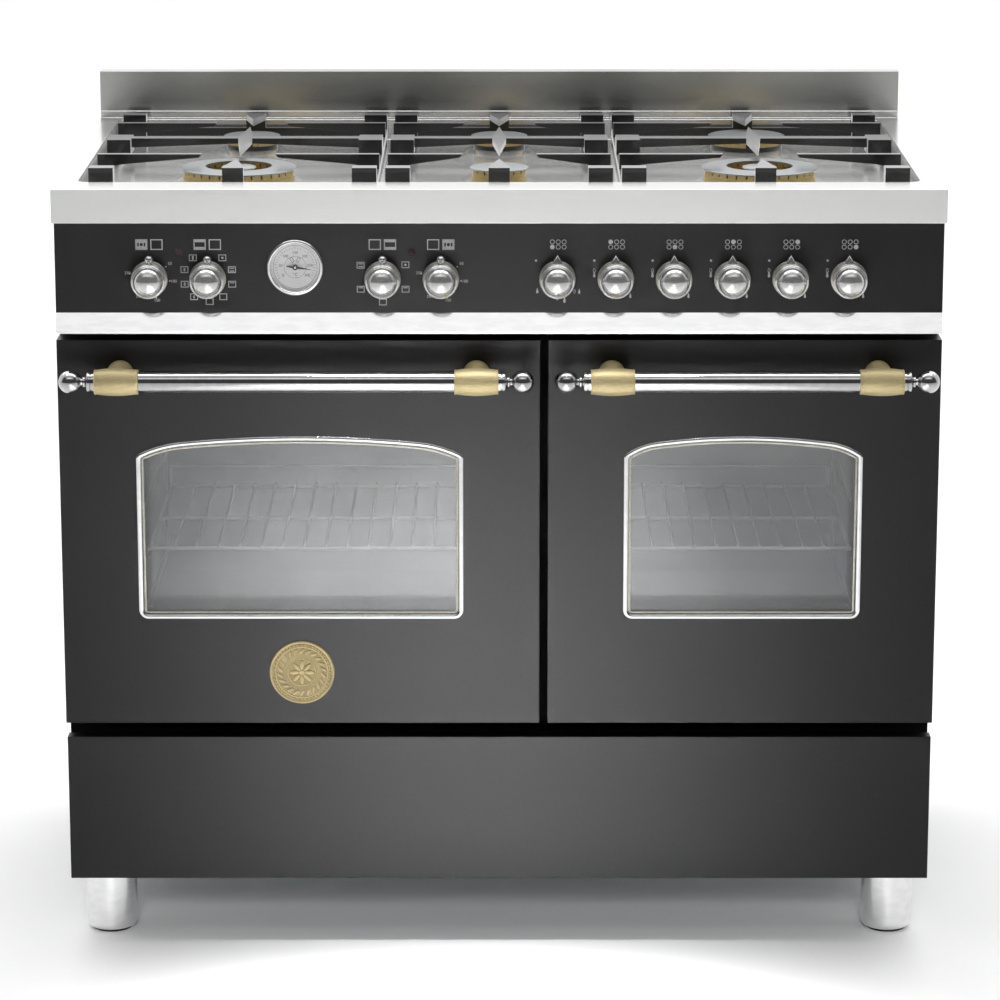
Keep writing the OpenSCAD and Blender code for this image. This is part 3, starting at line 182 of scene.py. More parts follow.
# %% Brushed worktop steel
worktop_steel = recipe("brushed_stainless_steel", 1900, ("f0f0ee", "f9f9f7"), (0.17, 0.22),
                       stretch=(0.012, 1, 1), detail=2.0, ends=(0.3, 0.7),
                       Metallic=0.82, Anisotropic=0.4)
guard_steel, shader = start_material("brushed_splashback_steel", Metallic=0.85)
brush = grain(guard_steel, 900, (0.02, 1, 1), 2.0)
cloud = grain(guard_steel, 5, (1, 0.2, 0.1), 1.0)
tint(guard_steel, shader, cloud.outputs["Fac"], "a6a6a1", "d2d2ce", 0.35, 0.7)
sheen_range(guard_steel, shader, brush.outputs["Fac"], 0.2, 0.25)
print(worktop_steel.name, guard_steel.name)

# %% [markdown]
# ### Polished strip and chrome
# The strip under the panel, the window beads, the feet and the thermometer's rim are polished
# steel, and the knobs, bars and oven wires are chrome. All are mirrors with a slightly different
# blur. A knob is tumbled after plating, so it is softer than a bar, and its flange is satin.
# Faint wiping marks, 8 mm across on the large parts, break up a reflection that would be too
# perfect.

# %% Polished steel and chrome
polished = recipe("polished_steel", 120, ("ebebeb", "f4f4f4"), (0.08, 0.14),
                  stretch=(0.3, 1, 1), detail=2.0, Metallic=1.0)
chrome = recipe("chrome_plate", 130, ("bcbcbc", "c6c6c6"), (0.05, 0.07), detail=2.0, Metallic=1.0)
knob_chrome = recipe("tumbled_knob_chrome", 260, ("d6d6d4", "e6e6e4"), (0.14, 0.2),
                     detail=2.0, Metallic=0.78)
satin_chrome = recipe("satin_chrome_flange", 900, ("a8a59a", "d2cfc4"), (0.3, 0.42), (0.04, 0.4),
                      detail=2.0, Metallic=0.8)
wire_chrome = recipe("chromed_wire", 400, ("e2e2e2", "f2f2f2"), (0.2, 0.3), Metallic=0.5)
print(polished.name, chrome.name, knob_chrome.name, satin_chrome.name, wire_chrome.name)

# %% [markdown]
# ### Brass
# The handle brackets and the medallion are cast brass, tumbled to a pale satin gold. The burner
# crowns are machined brass, darker and warmer. The medallion's sunk field has toned darker.
# Lines along X, 0.7 mm apart, stand for the linishing that runs along each barrel.

# %% Brass
satin_brass = recipe("satin_cast_brass", 1500, ("c1af7e", "d6c69a"), (0.4, 0.5), (0.02, 0.35),
                     stretch=(0.05, 1, 1), detail=2.0, ends=(0.3, 0.7), Metallic=0.4)
patina = recipe("toned_brass_field", 900, ("8f8059", "ad9d74"), (0.5, 0.62), (0.03, 0.4),
                detail=2.0, Metallic=0.6)
burner_brass = recipe("machined_burner_brass", 700, ("c4a768", "e6d39c"), (0.34, 0.48),
                      Metallic=0.75)
print(satin_brass.name, patina.name, burner_brass.name)

# %% [markdown]
# ### Enamelled cast iron
# The pan supports and burner cups are sand-cast iron under black enamel. The casting's grain,
# about 1.2 mm, shows through as a soft unevenness, and the enamel's gloss makes level tops go
# pale grey where the eye meets them at a low angle. The caps have a grey enamel.

# %% Cast iron
cast_iron = recipe("enamelled_cast_iron", 800, ("0a0a0b", "121213"), (0.24, 0.34), (0.05, 0.35),
                   Specular_IOR_Level=0.6, Coat_Weight=1.0, Coat_Roughness=0.12,
                   Sheen_Weight=1.0, Sheen_Roughness=0.35)
cap_enamel = recipe("grey_cap_enamel", 900, ("7c8182", "949999"), (0.28, 0.4), (0.03, 0.3),
                    Metallic=0.6)
print(cast_iron.name, cap_enamel.name)

# %% [markdown]
# ### Inside the ovens and behind the panels
# Oven liners have a dark glossy enamel with pale flecks of about 1 mm. Hidden sheet is galvanised,
# with zinc crystals of about 12 mm. The insulation is yellow-grey mineral wool, the seals and
# pads are rubber, the heating elements are oxidised steel, and the switches are moulded plastic.
# Flecks and crystals are cells, so these two finishes use a cell pattern in place of noise.

# %% Oven enamel, zinc, wool, rubber, element and plastic
oven_enamel, shader = start_material("flecked_oven_enamel", Specular_IOR_Level=0.6)
fleck = grain(oven_enamel, 900, kind="ShaderNodeTexVoronoi")
tint(oven_enamel, shader, fleck.outputs["Distance"], "2c2d30", "101112", 0.02, 0.12)
wave = grain(oven_enamel, 60)
sheen_range(oven_enamel, shader, wave.outputs["Fac"], 0.18, 0.3)
zinc, shader = start_material("galvanised_sheet", Metallic=0.9)
crystal = grain(zinc, 80, kind="ShaderNodeTexVoronoi")
tint(zinc, shader, crystal.outputs["Color"], "9fa4a6", "aeb3b5", 0.2, 0.8)
sheen_range(zinc, shader, crystal.outputs["Distance"], 0.34, 0.5)
wool = recipe("mineral_wool", 700, ("a89c6c", "ded3aa"), (0.85, 1.0), (0.6, 0.7),
              stretch=(1, 0.15, 1), detail=4.0, Sheen_Weight=0.2)
rubber = recipe("moulded_rubber", 1200, ("151516", "202022"), (0.6, 0.75), Specular_IOR_Level=0.35)
element = recipe("oxidised_element_steel", 300, ("3b352f", "5f574d"), (0.4, 0.6), Metallic=0.7)
plastic = recipe("moulded_black_plastic", 1400, ("1a1a1b", "242426"), (0.45, 0.6), (0.03, 0.4))
print(oven_enamel.name, zinc.name, wool.name, rubber.name, element.name, plastic.name)

# %% [markdown]
# ### Glass and the lamps
# The oven windows have two panes with a thin metal-oxide coating. It mirrors the bright floor,
# strongest near the middle of the cooker, and the wires inside stay faintly visible. The
# thermometer has clear glass. The lamps are unlit red lenses with a moulded pattern of cells,
# and the lighter red at each cell's centre is a painted glint.

# %% Glass and lamp lens
oven_glass = recipe("coated_oven_glass", 12, ("c6c7c8", "d0d1d2"), (0.1, 0.16),
                    Metallic=1.0, Alpha=0.125)
dial_glass = recipe("clear_dial_glass", 60, ("f4f6f6", "ffffff"), (0.03, 0.06),
                    Alpha=0.05, Specular_IOR_Level=0.5)
lamp_lens, shader = start_material("red_lamp_lens", Specular_IOR_Level=0.25)
ribs_and_painted_glints = grain(lamp_lens, 900, kind="ShaderNodeTexVoronoi")
# The lighter red at each cell's centre is a painted glint. The cells' bumps are the moulded ribs.
tint(lamp_lens, shader, ribs_and_painted_glints.outputs["Distance"], "3a0806", "0e0202", 0.1, 0.6)
sheen_range(lamp_lens, shader, ribs_and_painted_glints.outputs["Distance"], 0.15, 0.3)
relief(lamp_lens, shader, ribs_and_painted_glints.outputs["Distance"], 0.4, 0.8)
needle_paint = recipe("black_needle_paint", 1500, ("101010", "1c1c1c"), (0.4, 0.5))
print(oven_glass.name, dial_glass.name, lamp_lens.name, needle_paint.name)

# %% [markdown]
# ## Dressing the CAD nodes
# Every node that stays on show gets one of the finishes. The list goes by the record's slots, and
# a few nodes differ: the splashback has its own, greyer steel, and the frame behind the doors a
# darker matt black that paints the shade in the door gaps.

# %% Finishes on the nodes
BY_SLOT = {"satin_black": satin_black, "satin_steel": worktop_steel, "polished_steel": polished,
           "chrome": chrome, "satin_brass": satin_brass, "burner_brass": burner_brass,
           "cast_iron": cast_iron, "burner_enamel": cast_iron, "cap_enamel": cap_enamel,
           "oven_enamel": oven_enamel, "galvanised_steel": zinc, "mineral_wool": wool,
           "seal_rubber": rubber, "element_steel": element, "oven_glass": oven_glass,
           "dial_glass": dial_glass, "black_plastic": plastic, "needle_black": needle_paint,
           "lamp_lens": lamp_lens}
BY_NODE = {"backguard": guard_steel, "oven_racks": wire_chrome, "feet": polished,
           "front_frame": gap_shade_matt_black, "rack_guides": element, "fan_housing": oven_enamel,
           "fan_blade": oven_enamel}
SLOT_OF = {part["node"]: part["material_slot"] for part in frame["record"]["subparts"]}


def finish_of(name):
    """Material for a node."""
    return BY_NODE.get(name, BY_SLOT[SLOT_OF[name]])


for name, part in frame["nodes"].items():
    part.data.materials.clear()
    part.data.materials.append(finish_of(name))
print("dressed", len(frame["nodes"]), "nodes")

# %% [markdown]
# ## Floor and light
# The cooker stands on a plain pale floor, wide enough to fill the picture. A large soft light hangs
# above, another lights the background, and three small ones make pools of light on the floor in
# front, which the doors and windows mirror as a soft brightness in their middle. A wide, weak
# light in front is there to be mirrored: it makes the sloping strip white and draws a crescent on
# each knob. A low one washes the floor in front, and a small lamp in each oven, as real ovens
# have, keeps the racks visible through the coated glass. The sky is bright behind the cooker,
# light grey high up in front and dark along the front horizon.

# %% Floor
FLOOR_SIZE = 60
bpy.ops.mesh.primitive_plane_add(size=FLOOR_SIZE, location=(0, 0, 0))
floor = bpy.context.object
floor.name = "floor"
floor_paint, shader = start_material("matt_white_floor", Roughness=0.6)
mottle = grain(floor_paint, 3)
tint(floor_paint, shader, mottle.outputs["Fac"], "f9f9f9", "fdfdfd")
floor.data.materials.append(floor_paint)
print("floor", floor.dimensions[:])

# %% Sky
sky = bpy.data.worlds.new("studio_sky")
bpy.context.scene.world = sky
sky.use_nodes = True
facing = node(sky, "ShaderNodeTexCoord")
axes = node(sky, "ShaderNodeSeparateXYZ", Vector=facing.outputs["Generated"])
behind = node(sky, "ShaderNodeMapRange", Value=axes.outputs["Y"], _1=-0.22, _2=0.12)
level = node(sky, "ShaderNodeMath", {"operation": "ABSOLUTE"}, _0=axes.outputs["Z"])
haze_band = node(sky, "ShaderNodeMapRange", Value=level.outputs[0], _1=0.66, _2=0.84)
front_sky = node(sky, "ShaderNodeMix", {"data_type": "RGBA"}, Factor=haze_band.outputs[0],
                 A=paint("4c4c4e"), B=paint("c0c0c2"))
whole_sky = node(sky, "ShaderNodeMix", {"data_type": "RGBA"}, Factor=behind.outputs[0],
                 A=front_sky.outputs["Result"], B=paint("f4f4f4"))
glow = sky.node_tree.nodes["Background"]
sky.node_tree.links.new(whole_sky.outputs["Result"], glow.inputs["Color"])
glow.inputs["Strength"].default_value = 1.0
print("sky", sky.name)

# %% Lights
def softbox(name, place, aim, width, height, watts, spread=180):
    """A rectangular soft light, turned towards a point. In metres, watts and degrees."""
    data = bpy.data.lights.new(name, "AREA")
    data.shape, data.size, data.size_y, data.energy = "RECTANGLE", width, height, watts
    data.spread = math.radians(spread)
    lamp = bpy.data.objects.new(name, data)
    lamp.location = place
    lamp.rotation_euler = (Vector(aim) - Vector(place)).to_track_quat("-Z", "Y").to_euler()
    bpy.context.scene.collection.objects.link(lamp)
    print(name, watts, "W")


softbox("overhead_softbox", (0, 0.3, 2.9), (0, -0.2, 0.6), 3.4, 1.8, 42)
softbox("mirrored_softbox", (0, -2.1, 2.7), (0, -0.3, 0.8), 4.4, 0.65, 1.9, 90)
softbox("background_light", (0, 6.0, 4.0), (0, 6.0, 0), 10.0, 8.0, 300)
softbox("floor_pool", (-0.02, -1.2, 2.0), (-0.02, -1.2, 0), 0.45, 1.4, 19, 22)
softbox("window_pool", (-0.08, -2.15, 2.2), (-0.08, -2.15, 0), 0.4, 1.1, 24, 14)
softbox("far_pool", (0, -3.9, 2.2), (0, -3.9, 0), 1.4, 0.8, 9, 40)
softbox("floor_wash", (0, -1.7, 0.75), (0, -0.3, 0), 2.6, 0.3, 1.1, 20)
for side in ("left", "right"):
    low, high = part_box(side + "_oven_cavity")
    middle = (low.x + high.x) / 2
    softbox(side + "_oven_lamp", (middle, low.y + 0.03, high.z - 0.03), (middle, low.y + 0.06, 0.4),
            0.34, 0.03, 0.06)
bpy.context.scene.view_settings.view_transform = "Standard"
bpy.context.scene.view_settings.look = "None"

# %% [markdown]
# ## Tools for shaping
# Turned parts start as a disc that is extruded and resized ring by ring, as a lathe would cut
# them. Flat printed marks start as a polygon that is inset and extruded. A pressed or cast part
# that the CAD model already has is merged and gets its sharp edges rounded, because a real edge
# always catches a thin line of light.

# %% Turning, marking, softening
LEAN_OUT = (math.pi / 2, 0, 0)  # turns a body's own Z towards the viewer, along -Y
ALONG_X = (0, math.pi / 2, 0)
INK_MM = 0.1


def lone(piece):
    """Selects one object and makes it active."""
    bpy.ops.object.select_all(action="DESELECT")
    piece.select_set(True)
    bpy.context.view_layer.objects.active = piece


def settle(place=(0, 0, 0), lean=(0, 0, 0), smooth=30):
    """Shades the active piece, puts it in place and applies that to its mesh."""
    piece = bpy.context.object
    bpy.ops.object.shade_smooth_by_angle(angle=math.radians(smooth))
    piece.location, piece.rotation_euler = place, lean
    bpy.ops.object.transform_apply(location=True, rotation=True, scale=True)
    return piece


def face_outward():
    """Turns every face of the mesh being edited outwards and leaves edit mode."""
    bpy.ops.mesh.select_all(action="SELECT")
    bpy.ops.mesh.normals_make_consistent(inside=False)
    bpy.ops.object.mode_set(mode="OBJECT")


def turned(rings, place=(0, 0, 0), lean=(0, 0, 0), segments=64, smooth=30):
    """A turned body along its own Z. Rings are (height, radius) in mm."""
    height, radius = rings[0]
    bpy.ops.mesh.primitive_circle_add(vertices=segments, radius=radius * MM, fill_type="NGON")
    bpy.ops.object.mode_set(mode="EDIT")
    bpy.ops.mesh.select_all(action="SELECT")
    bpy.ops.transform.translate(value=(0, 0, height * MM))
    for next_height, next_radius in rings[1:]:
        bpy.ops.mesh.extrude_region_move(
            TRANSFORM_OT_translate={"value": (0, 0, (next_height - height) * MM)})
        wider = next_radius / radius
        bpy.ops.transform.resize(value=(wider, wider, 1), center_override=(0, 0, 0))
        height, radius = next_height, next_radius
    face_outward()
    return settle(place, lean, smooth)


def flat(sides, width, height, line=0.0, place=(0, 0, 0)):
    """A printed mark facing -Y: a polygon, or its outline when line is given. Sizes in mm."""
    bpy.ops.mesh.primitive_circle_add(vertices=sides, radius=0.5 * MM, fill_type="NGON")
    bpy.ops.object.mode_set(mode="EDIT")
    bpy.ops.mesh.select_all(action="SELECT")
    if sides == 4:
        bpy.ops.transform.rotate(value=math.pi / 4, orient_axis="Z", center_override=(0, 0, 0))
        width, height = width * math.sqrt(2), height * math.sqrt(2)
    bpy.ops.transform.resize(value=(width, height, 1), center_override=(0, 0, 0))
    if line:
        bpy.ops.mesh.inset(thickness=line * MM)
        bpy.ops.mesh.delete(type="FACE")
        bpy.ops.mesh.select_all(action="SELECT")
    bpy.ops.mesh.extrude_region_move(TRANSFORM_OT_translate={"value": (0, 0, INK_MM * MM)})
    face_outward()
    return settle(place, LEAN_OUT)


def twin(piece, *moves):
    """A copy with its own mesh, moved by one matrix after another."""
    made = bpy.data.objects.new(piece.name, piece.data.copy())
    for move in moves:
        made.data.transform(move)
    bpy.context.scene.collection.objects.link(made)
    return made


def copied(piece, shift):
    """A copy moved by shift."""
    return twin(piece, Matrix.Translation(shift))


def joined(pieces, name):
    """Several pieces made one."""
    bpy.ops.object.select_all(action="DESELECT")
    for piece in pieces:
        piece.select_set(True)
    bpy.context.view_layer.objects.active = pieces[0]
    bpy.ops.object.join()
    whole = bpy.context.object
    whole.name = whole.data.name = name
    return whole


def dress(piece, name, material, body, slot, *stands_for):
    """Names a finished piece, gives it its finish and lets it ride on its body."""
    piece.name = piece.data.name = name
    piece.data.materials.clear()
    piece.data.materials.append(material)
    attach(piece, body)
    if stands_for:
        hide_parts(*stands_for)
    print(name, len(piece.data.polygons), "faces")
    return piece


BODY_OF = {n: b for b, ns in frame["record"]["behaviour"]["bodies"].items() for n in ns}
JOINT = {joint["name"]: joint for joint in frame["joints"]}
MERGE, LEVEL_DEGREES, SHARP_DEGREES = 0.02 * MM, 0.6, 35


def softened(name, width):
    """A merged copy of a node with rounded edges, which stands for the node. Width in mm."""
    piece = bpy.data.objects.new(name + "_soft", frame["nodes"][name].data.copy())
    bpy.context.scene.collection.objects.link(piece)
    lone(piece)
    bpy.ops.object.mode_set(mode="EDIT")
    bpy.ops.mesh.select_all(action="SELECT")
    bpy.ops.mesh.remove_doubles(threshold=MERGE)
    bpy.ops.mesh.dissolve_limited(angle_limit=math.radians(LEVEL_DEGREES))
    bpy.ops.object.mode_set(mode="OBJECT")
    edge = piece.modifiers.new("rounded_edges", "BEVEL")
    edge.width, edge.segments, edge.limit_method = width * MM, 2, "ANGLE"
    edge.angle_limit = math.radians(SHARP_DEGREES)
    bpy.ops.object.modifier_apply(modifier=edge.name)
    bpy.ops.object.shade_smooth()
    flatten = piece.modifiers.new("flat_faces_stay_flat", "WEIGHTED_NORMAL")
    flatten.keep_sharp, flatten.weight, flatten.mode = False, 100, "FACE_AREA"
    bpy.ops.object.modifier_apply(modifier=flatten.name)
    return dress(piece, name + "_soft", finish_of(name), BODY_OF[name], SLOT_OF[name], name)


print("tools ready")

# %% [markdown]
# ## Rounded edges
# Each node below keeps its size and gets only its edges rounded: the cast pan supports most, the
# pressed worktop less, and thinner sheet and the small cups least. The front row's burner cups
# are brass and the rear row's black, so that one node has two materials.

# %% Soft edges
for name, width in (("hob_top", 0.9), ("backguard", 0.6), ("left_pan_support", 1.2),
                    ("centre_pan_support", 1.2), ("right_pan_support", 1.2),
                    ("left_door_skin", 0.7), ("right_door_skin", 0.7), ("drawer_front", 0.7),
                    ("control_panel", 0.7), ("side_panels", 0.7), ("terminal_box", 0.8)):
    softened(name, width)

# %% Brass cups in the front row
cups = softened("burner_bases", 0.4)
cups.data.materials.append(burner_brass)
cup_low, cup_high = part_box("burner_bases")
front_row = (cup_low.y + cup_high.y) / 2
for face in cups.data.polygons:
    face.material_index = 1 if face.center.y < front_row else 0
print("brass faces", sum(face.material_index for face in cups.data.polygons))

# %% [markdown]
# ## Knobs
# A knob is a spun and chromed brass body: a flange with a small bead, a waist and a domed front.
# It is turned here ring by ring. The gas knobs have a wedge with a ridge for a pointer and the
# oven knobs a small ball, so one of each is made and copied.

# %% Turn one knob body
PANEL_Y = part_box("control_panel")[0].y
FLANGE = [(1, 14), (1, 19.7), (1.7, 20.5), (4.0, 20.5), (4.8, 19.9), (5.2, 18.6), (6.2, 17.4)]
WAIST = [(8, 15.6), (9.2, 14.2), (9.8, 13.6), (11, 12.2), (13, 11.4), (16, 11.6), (19, 13.6)]
BEAD = [(21.0, 16.6), (21.8, 18.0), (22.6, 18.8), (23.6, 18.9), (24.4, 18.3), (25, 17)]
DOME = [(26 + 12 * math.sin(math.radians(t)), 16.4 * math.cos(math.radians(t)))
        for t in range(6, 90, 6)]
knob_body = turned(FLANGE + WAIST + BEAD + DOME + [(38, 0.2)], (0, PANEL_Y, 0), LEAN_OUT, 72)
print("knob", knob_body.dimensions[:])

# %% Pointers for the two kinds of knob
WEDGE_UP = 19.5 * MM
bpy.ops.mesh.primitive_cone_add(vertices=3, radius1=9.3 * MM, radius2=7.6 * MM, depth=3.2 * MM)
bpy.ops.object.mode_set(mode="EDIT")
bpy.ops.mesh.select_all(action="DESELECT")
wedge_mesh = bmesh.from_edit_mesh(bpy.context.object.data)
for face in wedge_mesh.faces:
    face.select = face.normal.z > 0.9
bmesh.update_edit_mesh(bpy.context.object.data)
bpy.ops.mesh.inset(thickness=0.6 * MM)
bpy.ops.mesh.poke(offset=1.6 * MM)
bpy.ops.object.mode_set(mode="OBJECT")
bpy.context.object.scale = (1.05, 1.0, 1)
wedge = settle((0, PANEL_Y - 3.6 * MM, WEDGE_UP), LEAN_OUT, 20)
low_wedge = copied(wedge, (0, 0, -WEDGE_UP))
low_wedge.data.transform(Matrix.Scale(0.66, 4) @ Matrix.Rotation(math.pi, 4, "Y"))
low_wedge.data.transform(Matrix.Translation((0, 0.34 * PANEL_Y, -18.7 * MM)))
bpy.ops.mesh.primitive_uv_sphere_add(segments=24, ring_count=14, radius=5.0 * MM)
ball = settle((0, PANEL_Y - 5.5 * MM, 22.0 * MM), (0, 0, 0), 80)
bpy.ops.mesh.primitive_cylinder_add(vertices=16, radius=2.8 * MM, depth=8 * MM)
stalk = settle((0, PANEL_Y - 4.5 * MM, 18.5 * MM), (math.radians(-8), 0, 0), 40)
gas_knob = joined([copied(knob_body, (0, 0, 0)), wedge], "gas_knob")
oven_knob = joined([knob_body, ball, stalk], "oven_knob")
print("pointers joined")

# %% Ten knobs
SATIN_FROM, SATIN_TO, SATIN_DEEP = 14.4, 20.6, 7
for name in [n for n in frame["nodes"] if n.endswith("_knob")]:
    centre = JOINT[name + "_turn"]["pos_m"]
    model = gas_knob if "burner" in name else oven_knob
    copy = copied(model, (centre[0], 0, centre[2]))
    if name == "front_left_burner_knob":
        copy = joined([copy, copied(low_wedge, (centre[0], 0, centre[2]))], "two_pointer_knob")
    dress(copy, name + "_turned", knob_chrome, name, "chrome", name)
    copy.data.materials.append(satin_chrome)
    for face in copy.data.polygons:
        out = math.hypot(face.center.x - centre[0], face.center.z - centre[2]) / MM
        if SATIN_FROM < out < SATIN_TO and PANEL_Y - face.center.y < SATIN_DEEP * MM:
            face.material_index = 1
for model in (gas_knob, oven_knob, low_wedge):
    bpy.data.objects.remove(model)

# %% [markdown]
# ## Handles
# Each bar is a chromed tube with a turned end: a ball, a neck with a bead, a flare and a collar.
# It runs through two brass barrels, and a tapered post with fine turned grooves joins each barrel
# to the door. The whole bar is one turned shape along X.

# %% Bars and brackets
BARREL_HALF = 24.5
BARREL_END = [(-BARREL_HALF, 12.6), (-BARREL_HALF, 13.6), (-BARREL_HALF + 0.6, 14.1),
              (-BARREL_HALF + 1.6, 14.1), (-BARREL_HALF + 2.0, 13.7), (-BARREL_HALF + 2.6, 13.8)]
BARREL_SWELL = [(h, 13.8 + 1.7 * math.cos(h / (BARREL_HALF - 2.6) * math.pi / 2) ** 0.8)
                for h in range(-20, 21, 4)]


def flipped(rings):
    """The rings of one end, for the other end."""
    return [(-h, r) for h, r in reversed(rings)]


def bar_end(half, reach, ball_r):
    """Rings in mm from the ball's tip to the barrel. The lengths given are half the whole's."""
    neck = half - 2 * ball_r
    return ([(-half + ball_r - ball_r * math.cos(math.radians(t)),
              max(0.3, ball_r * math.sin(math.radians(t)))) for t in range(0, 165, 8)]
            + [(-neck + h, r) for h, r in ((0.6, 4.2), (1.6, 6.2), (2.8, 6.6), (4.0, 6.2),
                                           (5.0, 4.6), (7.0, 5.0))]
            + [(-reach - h, r) for h, r in ((8.6, 9.4), (8.0, 11.2), (7.2, 11.8), (4.6, 11.8),
                                            (4.0, 11.0), (3.2, 11.0), (2.6, 11.8), (0.6, 11.8),
                                            (0.1, 11.9))])


def post_rings(out):
    """Rings of a tapered post with grooves, whose barrel is out mm in front of the door."""
    rings = [(0, 13.5), (1.5, 15.0), (3.5, 15.0)]
    h = 3.5
    while h < out - 13:
        r = 15.0 - 3.0 * h / out
        rings += [(h + 0.4, r - 0.6), (h + 1.2, r - 0.6), (h + 1.6, r - 0.1), (h + 3.0, r - 0.1)]
        h += 3.0
    return rings + [(out - 11.0, 12.0)]


def handle(side):
    """The bar and both brackets of one door."""
    low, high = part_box(side + "_handle_bar")
    middle, half = (low + high) / 2, (high.x - low.x) / 2 / MM
    bracket_low, bracket_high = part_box(side + "_handle_brackets")
    door_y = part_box(side + "_door_skin")[0].y
    end = bar_end(half, (bracket_high.x - bracket_low.x) / 2 / MM, (high.z - low.z) / 2 / MM)
    bar = turned(end + flipped(end), middle, ALONG_X, 56, 40)
    dress(bar, side + "_bar_turned", chrome, side + "_door", "chrome", side + "_handle_bar")
    turned_parts = []
    for x in (bracket_low.x + BARREL_HALF * MM, bracket_high.x - BARREL_HALF * MM):
        barrel = turned(BARREL_END + BARREL_SWELL + flipped(BARREL_END),
                        (x, middle.y, middle.z), ALONG_X, 56, 25)
        post = turned(post_rings((door_y - middle.y) / MM), (x, door_y, middle.z), LEAN_OUT, 48, 25)
        turned_parts += [barrel, post]
    dress(joined(turned_parts, "brackets"), side + "_brackets_turned", satin_brass, side + "_door",
          "satin_brass", side + "_handle_brackets")


for side in ("left", "right"):
    handle(side)

# %% [markdown]
# ## Thermometer
# A round gauge with a polished rim, a white enamelled face, a printed scale and a thin pointer
# under glass. The cup is turned like the knobs. The face is its own disc, a little in front of the
# cup's floor, and the scale is made of one short dash, copied round an arc, and of plain numbers.

# %% Printing ink and dial enamel
white_ink = recipe("white_printing_ink", 1800, ("b9b9b6", "d9d9d6"), (0.4, 0.55))
grey_ink = recipe("grey_printing_ink", 1800, ("3a3a38", "4c4c4a"), (0.45, 0.6))
dial_enamel = recipe("white_dial_enamel", 90, ("fafaf8", "ffffff"), (0.3, 0.4))
print(white_ink.name, grey_ink.name, dial_enamel.name)

# %% Cup and face
case_low, case_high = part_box("thermometer_case")
DIAL = Vector(((case_low.x + case_high.x) / 2, PANEL_Y, (case_low.z + case_high.z) / 2))
RIM = (case_high.x - case_low.x) / 2 / MM
cup = turned([(-20, RIM - 4), (0, RIM - 4), (0, RIM), (1.6, RIM), (2.8, RIM - 0.5), (3.6, RIM - 1.4),
              (4.0, RIM - 2.6), (3.8, RIM - 3.6), (3.0, RIM - 4.4), (1.6, RIM - 5.2),
              (-0.4, RIM - 5.6), (-1.9, RIM - 5.7)], DIAL, LEAN_OUT, 96)
pin = turned([(-2, 1.4), (2.4, 1.4), (2.9, 1.0)], DIAL, LEAN_OUT, 24)
dress(joined([cup, pin], "cup"), "thermometer_cup", polished, "body", "polished_steel",
      "thermometer_case")
enamelled_disc = turned([(-1.8, RIM - 5.9), (-1.5, RIM - 5.9)], DIAL, LEAN_OUT, 96)
dress(enamelled_disc, "dial_face", dial_enamel, "body", "satin_steel")

# %% Scale
FACE_Y = PANEL_Y + 1.5 * MM
ON_FACE = Matrix.Translation((DIAL.x, FACE_Y, DIAL.z))
SWEEP, DASHES, FIGURES, FIGURES_OUT = 250, 30, 6, 16.4


def words(text, height, place):
    """Plain figures made into a mesh, standing on a plane that faces -Y."""
    bpy.ops.object.text_add()
    sign = bpy.context.object
    sign.data.body, sign.data.size = text, height * MM
    sign.data.align_x, sign.data.align_y = "CENTER", "CENTER"
    sign.data.extrude = INK_MM * MM / 2
    bpy.ops.object.convert(target="MESH")
    return settle(place, LEAN_OUT)


scale_marks = []
for step in range(DASHES + 1):
    long_one = step % 5 == 0
    dash = flat(4, 0.35, 3.2 if long_one else 2.0)
    dash.data.transform(Matrix.Translation((0, 0, (21.8 if long_one else 21.2) * MM)))
    dash.data.transform(Matrix.Rotation(math.radians(-SWEEP / 2 + step * SWEEP / DASHES), 4, "Y"))
    dash.data.transform(ON_FACE)
    scale_marks.append(dash)
for step in range(FIGURES + 1):
    angle = math.radians(-SWEEP / 2 + step * SWEEP / FIGURES)
    where = (DIAL.x + FIGURES_OUT * MM * math.sin(angle), FACE_Y,
             DIAL.z + FIGURES_OUT * MM * math.cos(angle))
    scale_marks.append(words(str(step * 50), 4.4, where))
for radius in (24.6, 12.4):
    ring = flat(72, 2 * radius, 2 * radius, 0.3)
    ring.data.transform(ON_FACE)
    scale_marks.append(ring)
scale_marks.append(words("°C", 5.0, (DIAL.x, FACE_Y, DIAL.z - 8.6 * MM)))
for way in (1, -1):
    petal = flat(4, 3.2, 5.6, 0.5)
    petal.data.transform(Matrix.Rotation(way * math.radians(32), 4, "Y"))
    petal.data.transform(Matrix.Translation((DIAL.x + way * 3.4 * MM, FACE_Y, DIAL.z + 8.2 * MM)))
    scale_marks.append(petal)
dress(joined(scale_marks, "scale"), "dial_scale", grey_ink, "body", "needle_black")

# %% [markdown]
# ## Printed marks on the panel
# The enamel is screen printed in white: small burner maps and flames round the gas knobs, figures
# round the thermostats, and oven pictograms round the function knobs. Ink stands a tenth of a
# millimetre proud. Each kind of mark is drawn once and copied to its places, which are given in
# millimetres right of and above a knob's centre.

# %% Marks round the gas knobs
open_ring = flat(20, 5.3, 5.3, 0.6)
solid_dot = flat(20, 5.2, 5.2)
small_dot = flat(16, 2.6, 2.6)
flame = joined([flat(14, 2.6, 3.6), flat(3, 2.4, 4.4, place=(0, 0, 2.6 * MM))], "flame")
hollow_flame = flat(14, 2.9, 5.6, 0.5)
LIT_DOT = {"front_left": (-1, -1), "rear_left": (-1, 1), "front_centre": (0, -1),
           "rear_centre": (0, 1), "rear_right": (1, 1), "front_right": (1, -1)}
MAP_SIDE, MAP_UP, COLUMN_MM, ROW_MM = 0.8, 38.7, 6.6, 2.9
FLAMES = ((flame, -24.1, 3.2, 1.1), (hollow_flame, -24.1, 9.0, 1.0), (flame, 16.5, -20.4, 0.9))
TWO_CROWN_FLAMES = ((flame, -22.5, -15.0, 1.0), (flame, 8.0, -25.6, 1.1),
                    (flame, 24.5, -15.6, 0.9), (hollow_flame, 19.2, -14.6, 0.8))


